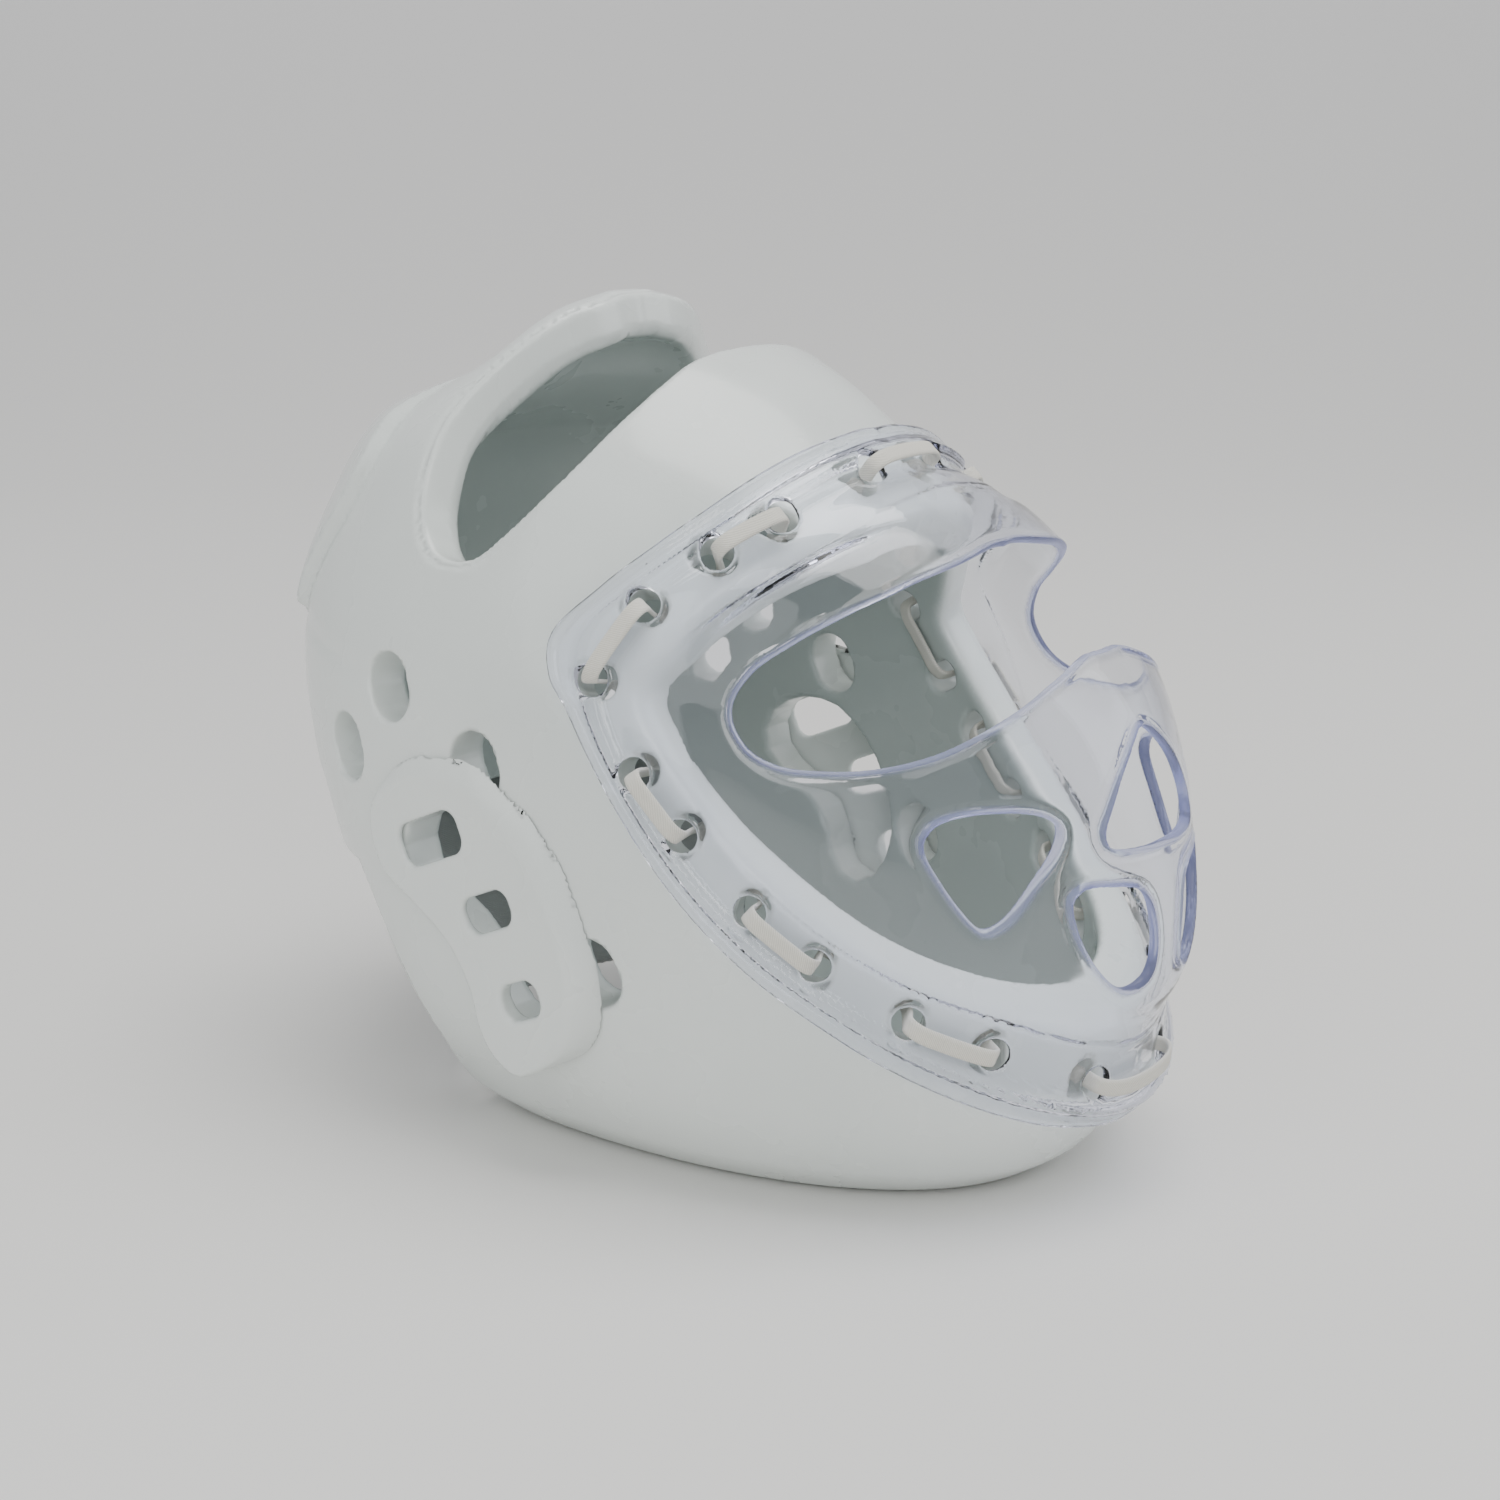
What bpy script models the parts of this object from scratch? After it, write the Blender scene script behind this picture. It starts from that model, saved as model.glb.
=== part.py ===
"""Karate head guard with a laced clear face mask, standing on its base rim.

Metres, +Z up. The face looks towards -Y and is tilted back, X runs towards the wearer's left,
and the guard is the same on both sides of X = 0.
"""

import math
from collections import namedtuple

import bpy
import bmesh
from mathutils import Vector

# Foam shell
SHELL_HEIGHT = 0.251
SHELL_FRONT = 0.141
SHELL_BACK = 0.146
SHELL_HALF_WIDTH = 0.096
SHELL_WALL = 0.015
SHELL_SINK = 0.008
SHELL_TURNS = 52
SHELL_LEVELS = 16
SHELL_CAP = 0.992

# Clear mask
MASK_FRONT = 0.156
MASK_BACK = 0.060
MASK_HALF_WIDTH = 0.090
MASK_TURNS = 48
MASK_WALL = 0.003
MASK_STANDOFF = 0.0013

# The direction the face looks, and the point inside the head that its outlines open from
FACE_TILT = math.radians(24)
FACE_CENTRE_Y = -0.030
FACE_CENTRE_Z = 0.125
CROWN_CENTRE_Y = 0.014
CROWN_CENTRE_Z = 0.150

# Lace and its holes
MASK_HOLE = 0.009
FOAM_HOLE = 0.010
FOAM_HOLE_LENGTH = 0.014
LACE_WIDTH = 0.0055
LACE_THICKNESS = 0.0012
LACE_CLEARANCE = 0.0008

# Vents through the foam
VENT_WIDTH = 0.017
VENT_LENGTH = 0.021

# Ear pads
PAD_FACE = 0.0985
PAD_ROOT = 0.078
PAD_SHOULDER = 0.0025
PAD_FLARE = 0.010
EAR_HOLE_SHARE = 0.72
SLOT_HEIGHT = 0.010
SLOT_TILT = math.radians(24)

# Raised panel over the back of the head
PANEL_RAISE = 0.0045
PANEL_ROOT = 0.004

# Notch and elastic band at the nape
NOTCH_TOP = 0.080
NOTCH_TOP_Y = 0.078
NOTCH_KNEE_Z = 0.028
NOTCH_KNEE_Y = 0.047
BAND_THICKNESS = 0.002
BAND_INSET = 0.005
BAND_GAP = 0.0015
BAND_BASE = 0.008
BAND_TUCK = 0.009

# Moves the whole guard back, so that the middle of its bounding box is over the origin
SHIFT_BACK = 0.0031

FIT_GAP = 0.0003
CUTTER_REACH = 1.35

# Level sections: height, front, back, half width and widest place as shares of the sizes above,
# then how square the front and back halves are (2 is an ellipse)
Section = namedtuple("Section", "height front back half_width centre front_square back_square")
SHELL_SECTIONS = [
    Section(-0.040, 0.695, 0.466, 0.542, 0.055, 2.10, 2.30),
    Section(0.000, 0.801, 0.555, 0.667, 0.068, 2.10, 2.30),
    Section(0.048, 0.915, 0.644, 0.802, 0.096, 2.10, 2.35),
    Section(0.139, 1.000, 0.733, 0.927, 0.137, 2.10, 2.40),
    Section(0.279, 0.986, 0.836, 0.984, 0.185, 2.15, 2.40),
    Section(0.438, 0.872, 0.952, 1.000, 0.226, 2.20, 2.40),
    Section(0.598, 0.723, 0.993, 0.964, 0.253, 2.15, 2.35),
    Section(0.737, 0.553, 0.918, 0.854, 0.267, 2.05, 2.20),
    Section(0.845, 0.340, 0.781, 0.729, 0.260, 2.00, 2.10),
    Section(0.924, 0.142, 0.493, 0.526, 0.288, 2.00, 2.00),
    Section(0.980, -0.099, 0.384, 0.292, 0.267, 2.00, 2.00),
    Section(1.000, -0.234, 0.308, 0.083, 0.267, 2.00, 2.00),
]
MASK_SECTIONS = [
    Section(0.000, 0.756, 0.667, 0.778, -0.333, 2.20, 2.20),
    Section(0.096, 0.910, 0.667, 0.933, -0.333, 2.10, 2.20),
    Section(0.179, 0.968, 0.667, 0.978, -0.333, 2.05, 2.20),
    Section(0.319, 1.000, 0.667, 1.000, -0.333, 2.00, 2.20),
    Section(0.438, 0.981, 0.667, 0.989, -0.333, 2.00, 2.20),
    Section(0.558, 0.929, 0.667, 0.956, -0.300, 2.00, 2.20),
    Section(0.641, 0.840, 0.667, 0.911, -0.233, 2.05, 2.20),
    Section(0.741, 0.647, 0.833, 0.833, 0.000, 2.15, 2.20),
    Section(0.797, 0.513, 1.000, 0.733, 0.200, 2.15, 2.20),
    Section(0.861, 0.346, 1.000, 0.600, 0.417, 2.10, 2.10),
    Section(0.936, 0.096, 1.000, 0.333, 0.500, 2.10, 2.10),
]

# Outlines round the face, in degrees: clock goes from the top down either side, and each edge is
# an angle away from the way the face looks. Then how far the mask stands off, in MASK_STANDOFF
FaceRow = namedtuple("FaceRow", "clock mask_rim foam_edge bulge_edge standoff")
FACE_ROWS = [
    FaceRow(0, 52.0, 34.0, 33.0, 2.2),
    FaceRow(15, 53.6, 35.0, 33.5, 2.2),
    FaceRow(30, 58.5, 37.6, 36.0, 1.9),
    FaceRow(42, 65.7, 44.0, 41.0, 1.5),
    FaceRow(50, 74.0, 50.7, 47.0, 1.2),
    FaceRow(57, 84.0, 58.5, 54.0, 1.0),
    FaceRow(63, 92.8, 65.6, 62.0, 1.0),
    FaceRow(70, 95.0, 74.0, 72.0, 1.0),
    FaceRow(76, 93.6, 80.5, 78.0, 1.0),
    FaceRow(84, 92.3, 80.0, 79.0, 1.0),
    FaceRow(95, 90.2, 77.0, 77.5, 1.0),
    FaceRow(110, 86.4, 72.3, 73.5, 1.0),
    FaceRow(125, 81.0, 67.4, 68.5, 1.0),
    FaceRow(140, 74.2, 63.0, 63.0, 1.0),
    FaceRow(155, 68.5, 58.4, 58.0, 1.4),
    FaceRow(168, 65.6, 56.0, 56.5, 2.0),
    FaceRow(180, 65.0, 55.5, 56.5, 2.3),
]

# Eye opening of the mask, on the same clock
EyeRow = namedtuple("EyeRow", "clock spread")
EYE_ROWS = [
    EyeRow(0, 17.5),
    EyeRow(30, 19.5),
    EyeRow(48, 24.0),
    EyeRow(62, 32.5),
    EyeRow(69, 41.0),
    EyeRow(74, 50.0),
    EyeRow(78, 58.0),
    EyeRow(84, 63.5),
    EyeRow(92, 63.0),
    EyeRow(98, 58.5),
    EyeRow(103, 51.0),
    EyeRow(107, 44.0),
    EyeRow(111, 35.0),
    EyeRow(114, 25.0),
    EyeRow(118, 15.0),
    EyeRow(128, 8.0),
    EyeRow(150, 5.2),
    EyeRow(180, 4.5),
]

# Steps of the mask from its rim inwards: place (2 at the rim, 1 at the edge of the bulge, 0 in
# the middle), how much of the bulge is reached, standoff from the foam, and wall
MaskStep = namedtuple("MaskStep", "place bulge lift wall")
MASK_STEPS = [
    MaskStep(2.00, 0.00, 1.0, 1.20),
    MaskStep(1.93, 0.00, 1.0, 1.75),
    MaskStep(1.80, 0.00, 1.0, 1.60),
    MaskStep(1.72, 0.00, 1.8, 1.00),
    MaskStep(1.58, 0.00, 1.2, 1.00),
    MaskStep(1.30, 0.00, 1.0, 1.00),
    MaskStep(1.05, 0.00, 1.0, 1.00),
    MaskStep(0.97, 0.45, 1.0, 1.00),
    MaskStep(0.90, 0.88, 1.0, 1.00),
    MaskStep(0.80, 1.00, 1.0, 1.00),
    MaskStep(0.60, 1.00, 1.0, 1.00),
    MaskStep(0.38, 1.00, 1.0, 1.00),
    MaskStep(0.18, 1.00, 1.0, 1.00),
]

# Breathing vents of the mask: corners by clock and spread in degrees
MaskVent = namedtuple("MaskVent", "name clocks spreads")
MASK_VENTS = [
    MaskVent("cheek", (120.5, 148.0, 142.5), (43.5, 30.0, 51.5)),
    MaskVent("chin", (152.5, 175.5, 176.5, 168.0), (38.0, 36.0, 48.0, 50.5)),
]
NOSE_VENT = MaskVent("nose", (180.0, 158.0, 202.0), (14.5, 33.0, 33.0))
VENT_SOFTNESS = 0.28
VENT_REACHES = (0.08, 0.17)

# Lace holes on one side, from the forehead to the chin
LaceHole = namedtuple("LaceHole", "clock spread")
LACE_HOLES = [
    LaceHole(14.0, 46.0),
    LaceHole(40.0, 54.8),
    LaceHole(50.6, 64.8),
    LaceHole(60.5, 77.5),
    LaceHole(72.0, 88.5),
    LaceHole(90.0, 85.5),
    LaceHole(103.5, 81.0),
    LaceHole(120.0, 75.5),
    LaceHole(132.0, 71.0),
    LaceHole(146.0, 66.0),
    LaceHole(157.0, 62.4),
    LaceHole(172.0, 61.4),
]

# Crown opening seen from its centre: clock from the front, spread from straight up, degrees
CrownRow = namedtuple("CrownRow", "clock spread")
CROWN_ROWS = [
    CrownRow(0, 14.3),
    CrownRow(22, 15.2),
    CrownRow(40, 17.8),
    CrownRow(54, 22.3),
    CrownRow(64, 29.7),
    CrownRow(72, 38.6),
    CrownRow(79.5, 48.7),
    CrownRow(86.5, 56.9),
    CrownRow(94.2, 65.2),
    CrownRow(99, 69.8),
    CrownRow(104, 71.6),
    CrownRow(109, 71.4),
    CrownRow(113.5, 68.4),
    CrownRow(117, 62.8),
    CrownRow(120.2, 54.2),
    CrownRow(122.5, 47.5),
    CrownRow(124.6, 38.8),
    CrownRow(126.2, 30.0),
    CrownRow(128.8, 23.5),
    CrownRow(135, 17.5),
    CrownRow(146, 14.2),
    CrownRow(162, 12.7),
    CrownRow(180, 12.2),
]

# Vents of one side: height as a share of the shell, and turn from the front in degrees
FoamVent = namedtuple("FoamVent", "height turn")
FOAM_VENTS = [
    FoamVent(0.558, 101.5),
    FoamVent(0.470, 115.0),
    FoamVent(0.372, 138.0),
    FoamVent(0.502, 80.0),
    FoamVent(0.275, 59.5),
]

# Face of an ear pad: height as a share of the shell, front and back edges as shares of its width
PadRow = namedtuple("PadRow", "height front back")
PAD_ROWS = [
    PadRow(0.127, 0.01, 0.05),
    PadRow(0.145, -0.07, 0.13),
    PadRow(0.175, -0.14, 0.18),
    PadRow(0.215, -0.18, 0.21),
    PadRow(0.267, -0.19, 0.30),
    PadRow(0.307, -0.16, 0.45),
    PadRow(0.335, -0.13, 0.57),
    PadRow(0.370, -0.08, 0.62),
    PadRow(0.414, 0.01, 0.62),
    PadRow(0.446, 0.11, 0.54),
    PadRow(0.468, 0.22, 0.41),
]

# Slots of an ear pad: place and length, as shares of the shell's height and half width
Slot = namedtuple("Slot", "height forward length")
PAD_SLOTS = [
    Slot(0.390, 0.365, 0.265),
    Slot(0.319, 0.130, 0.200),
    Slot(0.221, 0.000, 0.155),
]

# Edge of the raised panel: height as a share of the shell, and turn from the front in degrees
PanelRow = namedtuple("PanelRow", "height turn")
PANEL_ROWS = [
    PanelRow(0.606, 141.0),
    PanelRow(0.630, 139.0),
    PanelRow(0.670, 135.5),
    PanelRow(0.737, 129.5),
    PanelRow(0.800, 127.0),
    PanelRow(0.845, 129.0),
    PanelRow(0.880, 134.0),
]


def clamp(value, low, high):
    return max(low, min(high, value))


def curve(rows, key, column, at):
    """Value of a column where the key column is at, on a smooth curve through the rows."""
    keys = [getattr(row, key) for row in rows]
    values = [getattr(row, column) for row in rows]
    at = clamp(at, keys[0], keys[-1])
    last = len(keys) - 1
    i = max(k for k in range(last) if keys[k] <= at)

    def slope(k):
        low, high = max(k - 1, 0), min(k + 1, last)
        return (values[high] - values[low]) / (keys[high] - keys[low])

    step = keys[i + 1] - keys[i]
    t = (at - keys[i]) / step
    start = (1 + 2 * t) * (1 - t) ** 2 * values[i] + t * (1 - t) ** 2 * step * slope(i)
    end = t * t * (3 - 2 * t) * values[i + 1] - t * t * (1 - t) * step * slope(i + 1)
    return start + end


class Form:
    """A closed form given by its level sections, round an upright axis."""

    def __init__(self, rows, height, front, back, half_width):
        self.rows = rows
        self.height = height
        self.front = front
        self.back = back
        self.half_width = half_width
        self.known = {}

    def section(self, z):
        key = round(z, 7)
        if key not in self.known:
            at = z / self.height
            columns = Section._fields[1:]
            shares = Section(at, *(curve(self.rows, "height", name, at) for name in columns))
            centre = self.back * shares.centre
            self.known[key] = (
                centre,
                centre + self.front * shares.front,
                self.back * shares.back - centre,
                self.half_width * shares.half_width,
                shares.front_square,
                shares.back_square,
            )
        return self.known[key]

    def radius(self, z, turn):
        """Distance from the section's centre to the surface, for a turn from the front."""
        centre, ahead, behind, side, front_square, back_square = self.section(z)
        along, across = math.cos(turn), abs(math.sin(turn))
        reach, square = (ahead, front_square) if along > 0 else (behind, back_square)
        return ((abs(along) / reach) ** square + (across / side) ** square) ** (-1 / square)

    def point(self, z, turn):
        r = self.radius(z, turn)
        return Vector((r * math.sin(turn), self.section(z)[0] - r * math.cos(turn), z))

    def value(self, p):
        """Below 1 inside the form and above 1 outside."""
        x, y = p.x, self.section(p.z)[0] - p.y
        return math.hypot(x, y) / self.radius(p.z, math.atan2(x, y))

    def normal(self, p):
        d = 0.0005
        steps = (Vector((d, 0, 0)), Vector((0, d, 0)), Vector((0, 0, d)))
        return Vector([self.value(p + s) - self.value(p - s) for s in steps]).normalized()

    def meet(self, start, direction):
        """Distance from a point inside to the surface, along a direction."""
        low, high = 0.0, 2 * self.height
        for _ in range(26):
            middle = (low + high) / 2
            p = start + direction * middle
            outside = p.z > self.height or self.value(p) > 1
            low, high = (low, middle) if outside else (middle, high)
        return low


class Lookout:
    """Directions seen from a point: clock turns round the axis, spread opens away from it."""

    def __init__(self, centre, axis, up):
        self.centre = centre
        self.axis = axis
        self.up = up
        self.side = Vector((1, 0, 0))

    def direction(self, clock, spread):
        clock, spread = math.radians(clock), math.radians(spread)
        around = self.up * math.cos(clock) + self.side * math.sin(clock)
        return self.axis * math.cos(spread) + around * math.sin(spread)


SHELL_FORM = Form(SHELL_SECTIONS, SHELL_HEIGHT, SHELL_FRONT, SHELL_BACK, SHELL_HALF_WIDTH)
MASK_FORM = Form(MASK_SECTIONS, SHELL_HEIGHT, MASK_FRONT, MASK_BACK, MASK_HALF_WIDTH)
FACE = Lookout(
    Vector((0, FACE_CENTRE_Y, FACE_CENTRE_Z)),
    Vector((0, -math.cos(FACE_TILT), math.sin(FACE_TILT))),
    Vector((0, math.sin(FACE_TILT), math.cos(FACE_TILT))),
)
CROWN = Lookout(Vector((0, CROWN_CENTRE_Y, CROWN_CENTRE_Z)), Vector((0, 0, 1)), Vector((0, -1, 0)))


def both_sides(clock):
    """A clock reading folded onto the side that the tables describe."""
    clock = clock % 360
    return min(clock, 360 - clock)


def spread_at(rows, column, clock):
    return curve(rows, "clock", column, both_sides(clock))


def clear_scene():
    for item in list(bpy.data.objects):
        bpy.data.objects.remove(item)


def make_collection(name):
    collection = bpy.data.collections.new(name)
    bpy.context.scene.collection.children.link(collection)
    return collection


def make_material(name, colour, roughness, alpha=1.0):
    material = bpy.data.materials.new(name)
    material.use_nodes = True
    shader = material.node_tree.nodes["Principled BSDF"]
    shader.inputs["Base Color"].default_value = (*colour, 1)
    shader.inputs["Roughness"].default_value = roughness
    shader.inputs["Metallic"].default_value = 0.0
    shader.inputs["Alpha"].default_value = alpha
    return material


def add_object(name, bm, collection, material=None):
    bmesh.ops.translate(bm, verts=bm.verts, vec=(0, SHIFT_BACK, 0))
    bmesh.ops.recalc_face_normals(bm, faces=bm.faces)
    if bm.calc_volume(signed=True) < 0:
        bmesh.ops.reverse_faces(bm, faces=bm.faces)
    mesh = bpy.data.meshes.new(name)
    bm.to_mesh(mesh)
    bm.free()
    item = bpy.data.objects.new(name, mesh)
    collection.objects.link(item)
    if material:
        mesh.materials.append(material)
        mesh.shade_smooth()
        mesh.set_sharp_from_angle(angle=math.radians(40))
    else:
        item.hide_render = True
        item.display_type = "WIRE"
    return item


def loft(rings, bm=None, cap=True, closed=True):
    """Faces between neighbouring rings of equal length, with flat ends where cap is set."""
    bm = bm or bmesh.new()
    made = [[bm.verts.new(p) for p in ring] for ring in rings]
    for low, high in zip(made, made[1:]):
        count = len(low)
        for i in range(count if closed else count - 1):
            j = (i + 1) % count
            bm.faces.new((low[i], low[j], high[j], high[i]))
    if cap:
        bm.faces.new(made[0])
        bm.faces.new(made[-1])
    return bm


def cut(target, cutter, operation="DIFFERENCE"):
    modifier = target.modifiers.new(cutter.name, "BOOLEAN")
    modifier.operation = operation
    modifier.object = cutter
    modifier.solver = "EXACT"


def thicken(target, thickness, offset):
    modifier = target.modifiers.new("Wall", "SOLIDIFY")
    modifier.thickness = thickness
    modifier.offset = offset
    modifier.use_even_offset = True


def shell_heights():
    """Levels from just under the base up into the crown opening, closer together near the top."""
    span = SHELL_HEIGHT * SHELL_CAP + SHELL_SINK
    return [
        span * math.sin(math.pi / 2 * k / SHELL_LEVELS) - SHELL_SINK
        for k in range(SHELL_LEVELS + 1)
    ]


def form_ring(form, z, count, grow=0.0):
    """Points round one level, evenly spread along the section."""
    _, ahead, behind, side, _, _ = form.section(z)
    ring = []
    for k in range(count):
        t = 2 * math.pi * (k + 0.5) / count
        reach = ahead if math.cos(t) > 0 else behind
        turn = math.atan2(side * math.sin(t), reach * math.cos(t))
        p = form.point(z, turn)
        ring.append(p + form.normal(p) * grow if grow else p)
    return ring


def even_clocks(count):
    return [360 * (k + 0.5) / count for k in range(count)]


def cone(rows, column, lookout, form, clocks, name, collection):
    """A cutter that opens from the lookout's centre through an outline on the form."""
    rings = [[lookout.centre] * len(clocks)]
    for share in (1.0, 0.72, 0.44, 0.2, 0.0):
        ring = []
        for clock in clocks:
            direction = lookout.direction(clock, share * spread_at(rows, column, clock))
            reach = form.meet(lookout.centre, direction) * CUTTER_REACH
            ring.append(lookout.centre + direction * reach)
        rings.append(ring)
    bm = loft(rings, cap=False)
    bmesh.ops.remove_doubles(bm, verts=bm.verts, dist=0.00001)
    return add_object(name, bm, collection)


def box(name, low, high, collection):
    bm = bmesh.new()
    bmesh.ops.create_cube(bm, size=1)
    middle = (Vector(low) + Vector(high)) / 2
    size = Vector(high) - Vector(low)
    for vert in bm.verts:
        vert.co = Vector([middle[i] + vert.co[i] * size[i] for i in range(3)])
    return add_object(name, bm, collection)


def peg(bm, middle, axis, lengthways, width, length, depth, sides):
    """An oval peg through a point, its longer way along lengthways."""
    axis = axis.normalized()
    long_way = (lengthways - axis * lengthways.dot(axis)).normalized()
    short_way = axis.cross(long_way)
    rings = []
    for end in (-depth, depth):
        ring = []
        for k in range(sides):
            t = 2 * math.pi * (k + 0.5) / sides
            around = long_way * math.cos(t) * length / 2 + short_way * math.sin(t) * width / 2
            ring.append(middle + axis * end + around)
        rings.append(ring)
    loft(rings, bm)


def hole_places():
    """Foam surface point, outward normal and clock of every lace hole, once round the face."""
    near = [(hole.clock, hole.spread) for hole in LACE_HOLES]
    far = [(-hole.clock, hole.spread) for hole in reversed(LACE_HOLES)]
    places = []
    for clock, spread in near + far:
        direction = FACE.direction(clock, spread)
        p = FACE.centre + direction * SHELL_FORM.meet(FACE.centre, direction)
        places.append((p, SHELL_FORM.normal(p), clock))
    return places


def lace_hole_cutter(name, width, length, collection):
    bm = bmesh.new()
    depth = SHELL_WALL * 2
    for p, normal, _ in hole_places():
        outwards = p - FACE.centre - FACE.axis * (p - FACE.centre).dot(FACE.axis)
        shift = outwards.normalized() * (length - width) / 2
        peg(bm, p + shift, normal, outwards, width, length, depth, 8)
    return add_object(name, bm, collection)


def foam_vent_cutter(collection):
    bm = bmesh.new()
    for vent in FOAM_VENTS:
        for side in (-1, 1):
            p = SHELL_FORM.point(vent.height * SHELL_HEIGHT, side * math.radians(vent.turn))
            peg(bm, p, SHELL_FORM.normal(p), FACE.up, VENT_WIDTH, VENT_LENGTH, SHELL_WALL * 1.6, 14)
    return add_object("foam_vent_cutter", bm, collection)


def pad_outline(grow_front, grow_back):
    """Outline of an ear pad in Y and Z, moved outwards by two amounts, front and back."""
    across = SHELL_HALF_WIDTH
    up = SHELL_HEIGHT
    front = [(row.front * across, row.height * up) for row in PAD_ROWS]
    back = [(row.back * across, row.height * up) for row in reversed(PAD_ROWS)]
    loop = front + back
    area = sum(a[0] * b[1] - b[0] * a[1] for a, b in zip(loop, loop[1:] + loop[:1]))
    turn = 1 if area > 0 else -1
    moved = []
    for i, (y, z) in enumerate(loop):
        before, after = loop[i - 1], loop[(i + 1) % len(loop)]
        edge = Vector((after[0] - before[0], after[1] - before[1])).normalized()
        outward = Vector((edge.y, -edge.x)) * turn
        share = (1 - outward.x) / 2
        grow = grow_front * share + grow_back * (1 - share)
        moved.append((y + outward.x * grow, z + outward.y * grow))
    return moved


def pad_ring(side, x, grow_front, grow_back):
    return [Vector((side * x, y, z)) for y, z in pad_outline(grow_front, grow_back)]


def slot_cutter(collection):
    """Round-ended slots straight through both ear pads."""
    bm = bmesh.new()
    along = Vector((0, -math.cos(SLOT_TILT), math.sin(SLOT_TILT)))
    up = Vector((0, math.sin(SLOT_TILT), math.cos(SLOT_TILT)))
    radius = SLOT_HEIGHT * 0.36
    for slot in PAD_SLOTS:
        middle = Vector((0, slot.forward * SHELL_HALF_WIDTH, slot.height * SHELL_HEIGHT))
        half_length = slot.length * SHELL_HALF_WIDTH / 2 - radius
        half_height = SLOT_HEIGHT / 2 - radius
        ring = []
        for corner, (a, b) in enumerate(((1, 1), (-1, 1), (-1, -1), (1, -1))):
            for k in range(4):
                t = math.pi / 2 * (corner + k / 3)
                reach = a * half_length + radius * math.cos(t)
                rise = b * half_height + radius * math.sin(t)
                ring.append(middle + along * reach + up * rise)
        for side in (-1, 1):
            ends = (PAD_ROOT - 0.01, PAD_FACE + 0.01)
            loft([[p + Vector((side * x, 0, 0)) for p in ring] for x in ends], bm)
    return add_object("slot_cutter", bm, collection)


def ear_hole_cutter(collection):
    """The opening for an ear behind each pad, the pad's own outline made smaller."""
    bm = bmesh.new()
    for side in (-1, 1):
        rings = []
        for x in (PAD_ROOT - SHELL_WALL, PAD_FACE + SHELL_WALL):
            ring = pad_ring(side, x, 0, 0)
            middle = sum(ring, Vector()) / len(ring)
            rings.append([middle + (p - middle) * EAR_HOLE_SHARE for p in ring])
        loft(rings, bm)
    return add_object("ear_hole_cutter", bm, collection)


def notch_edge_y(z):
    """How far back the nape notch starts at a height."""
    if z <= NOTCH_KNEE_Z:
        return NOTCH_KNEE_Y
    share = (z - NOTCH_KNEE_Z) / (NOTCH_TOP - NOTCH_KNEE_Z)
    return NOTCH_KNEE_Y + (NOTCH_TOP_Y - NOTCH_KNEE_Y) * share


def notch_cutter(collection):
    low = -2 * SHELL_SINK
    outline = [
        (NOTCH_TOP_Y, NOTCH_TOP),
        (2 * SHELL_BACK, NOTCH_TOP),
        (2 * SHELL_BACK, low),
        (NOTCH_KNEE_Y, low),
        (NOTCH_KNEE_Y, NOTCH_KNEE_Z),
    ]
    reach = SHELL_HALF_WIDTH * 1.5
    rings = [[Vector((x, y, z)) for y, z in outline] for x in (-reach, reach)]
    return add_object("notch_cutter", loft(rings), collection)


def turn_at_y(z, y):
    """Turn from the front at which a level of the shell reaches a place behind its centre."""
    low, high = math.pi / 2, math.pi
    for _ in range(24):
        middle = (low + high) / 2
        low, high = (middle, high) if SHELL_FORM.point(z, middle).y < y else (low, middle)
    return low


def band_patch(tuck, margin):
    """Rows of points along the middle of the elastic band, from one side to the other."""
    levels, columns = 5, 23
    low, high = BAND_BASE - margin, NOTCH_TOP - BAND_GAP + margin
    rows = []
    for i in range(levels):
        z = low + (high - low) * i / (levels - 1)
        start = turn_at_y(z, notch_edge_y(z) - tuck)
        row = []
        for k in range(columns):
            turn = start + (2 * math.pi - 2 * start) * k / (columns - 1)
            p = SHELL_FORM.point(z, turn)
            row.append(p - SHELL_FORM.normal(p) * BAND_INSET)
        rows.append(row)
    return rows


def band(name, tuck, margin, thickness, collection, material=None):
    bm = loft(band_patch(tuck, margin), cap=False, closed=False)
    item = add_object(name, bm, collection, material)
    thicken(item, thickness, 0)
    return item


def panel(collection):
    """Raised pad over the back of the head, joined to the shell."""
    columns = 15
    rows = []
    for row in PANEL_ROWS:
        start = math.radians(row.turn)
        z = row.height * SHELL_HEIGHT
        line = []
        for k in range(columns):
            turn = start + (2 * math.pi - 2 * start) * k / (columns - 1)
            p = SHELL_FORM.point(z, turn)
            line.append(p + SHELL_FORM.normal(p) * PANEL_RAISE)
        rows.append(line)
    item = add_object("panel_joint", loft(rows, cap=False, closed=False), collection)
    thicken(item, PANEL_RAISE + PANEL_ROOT, -1)
    return item


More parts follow.
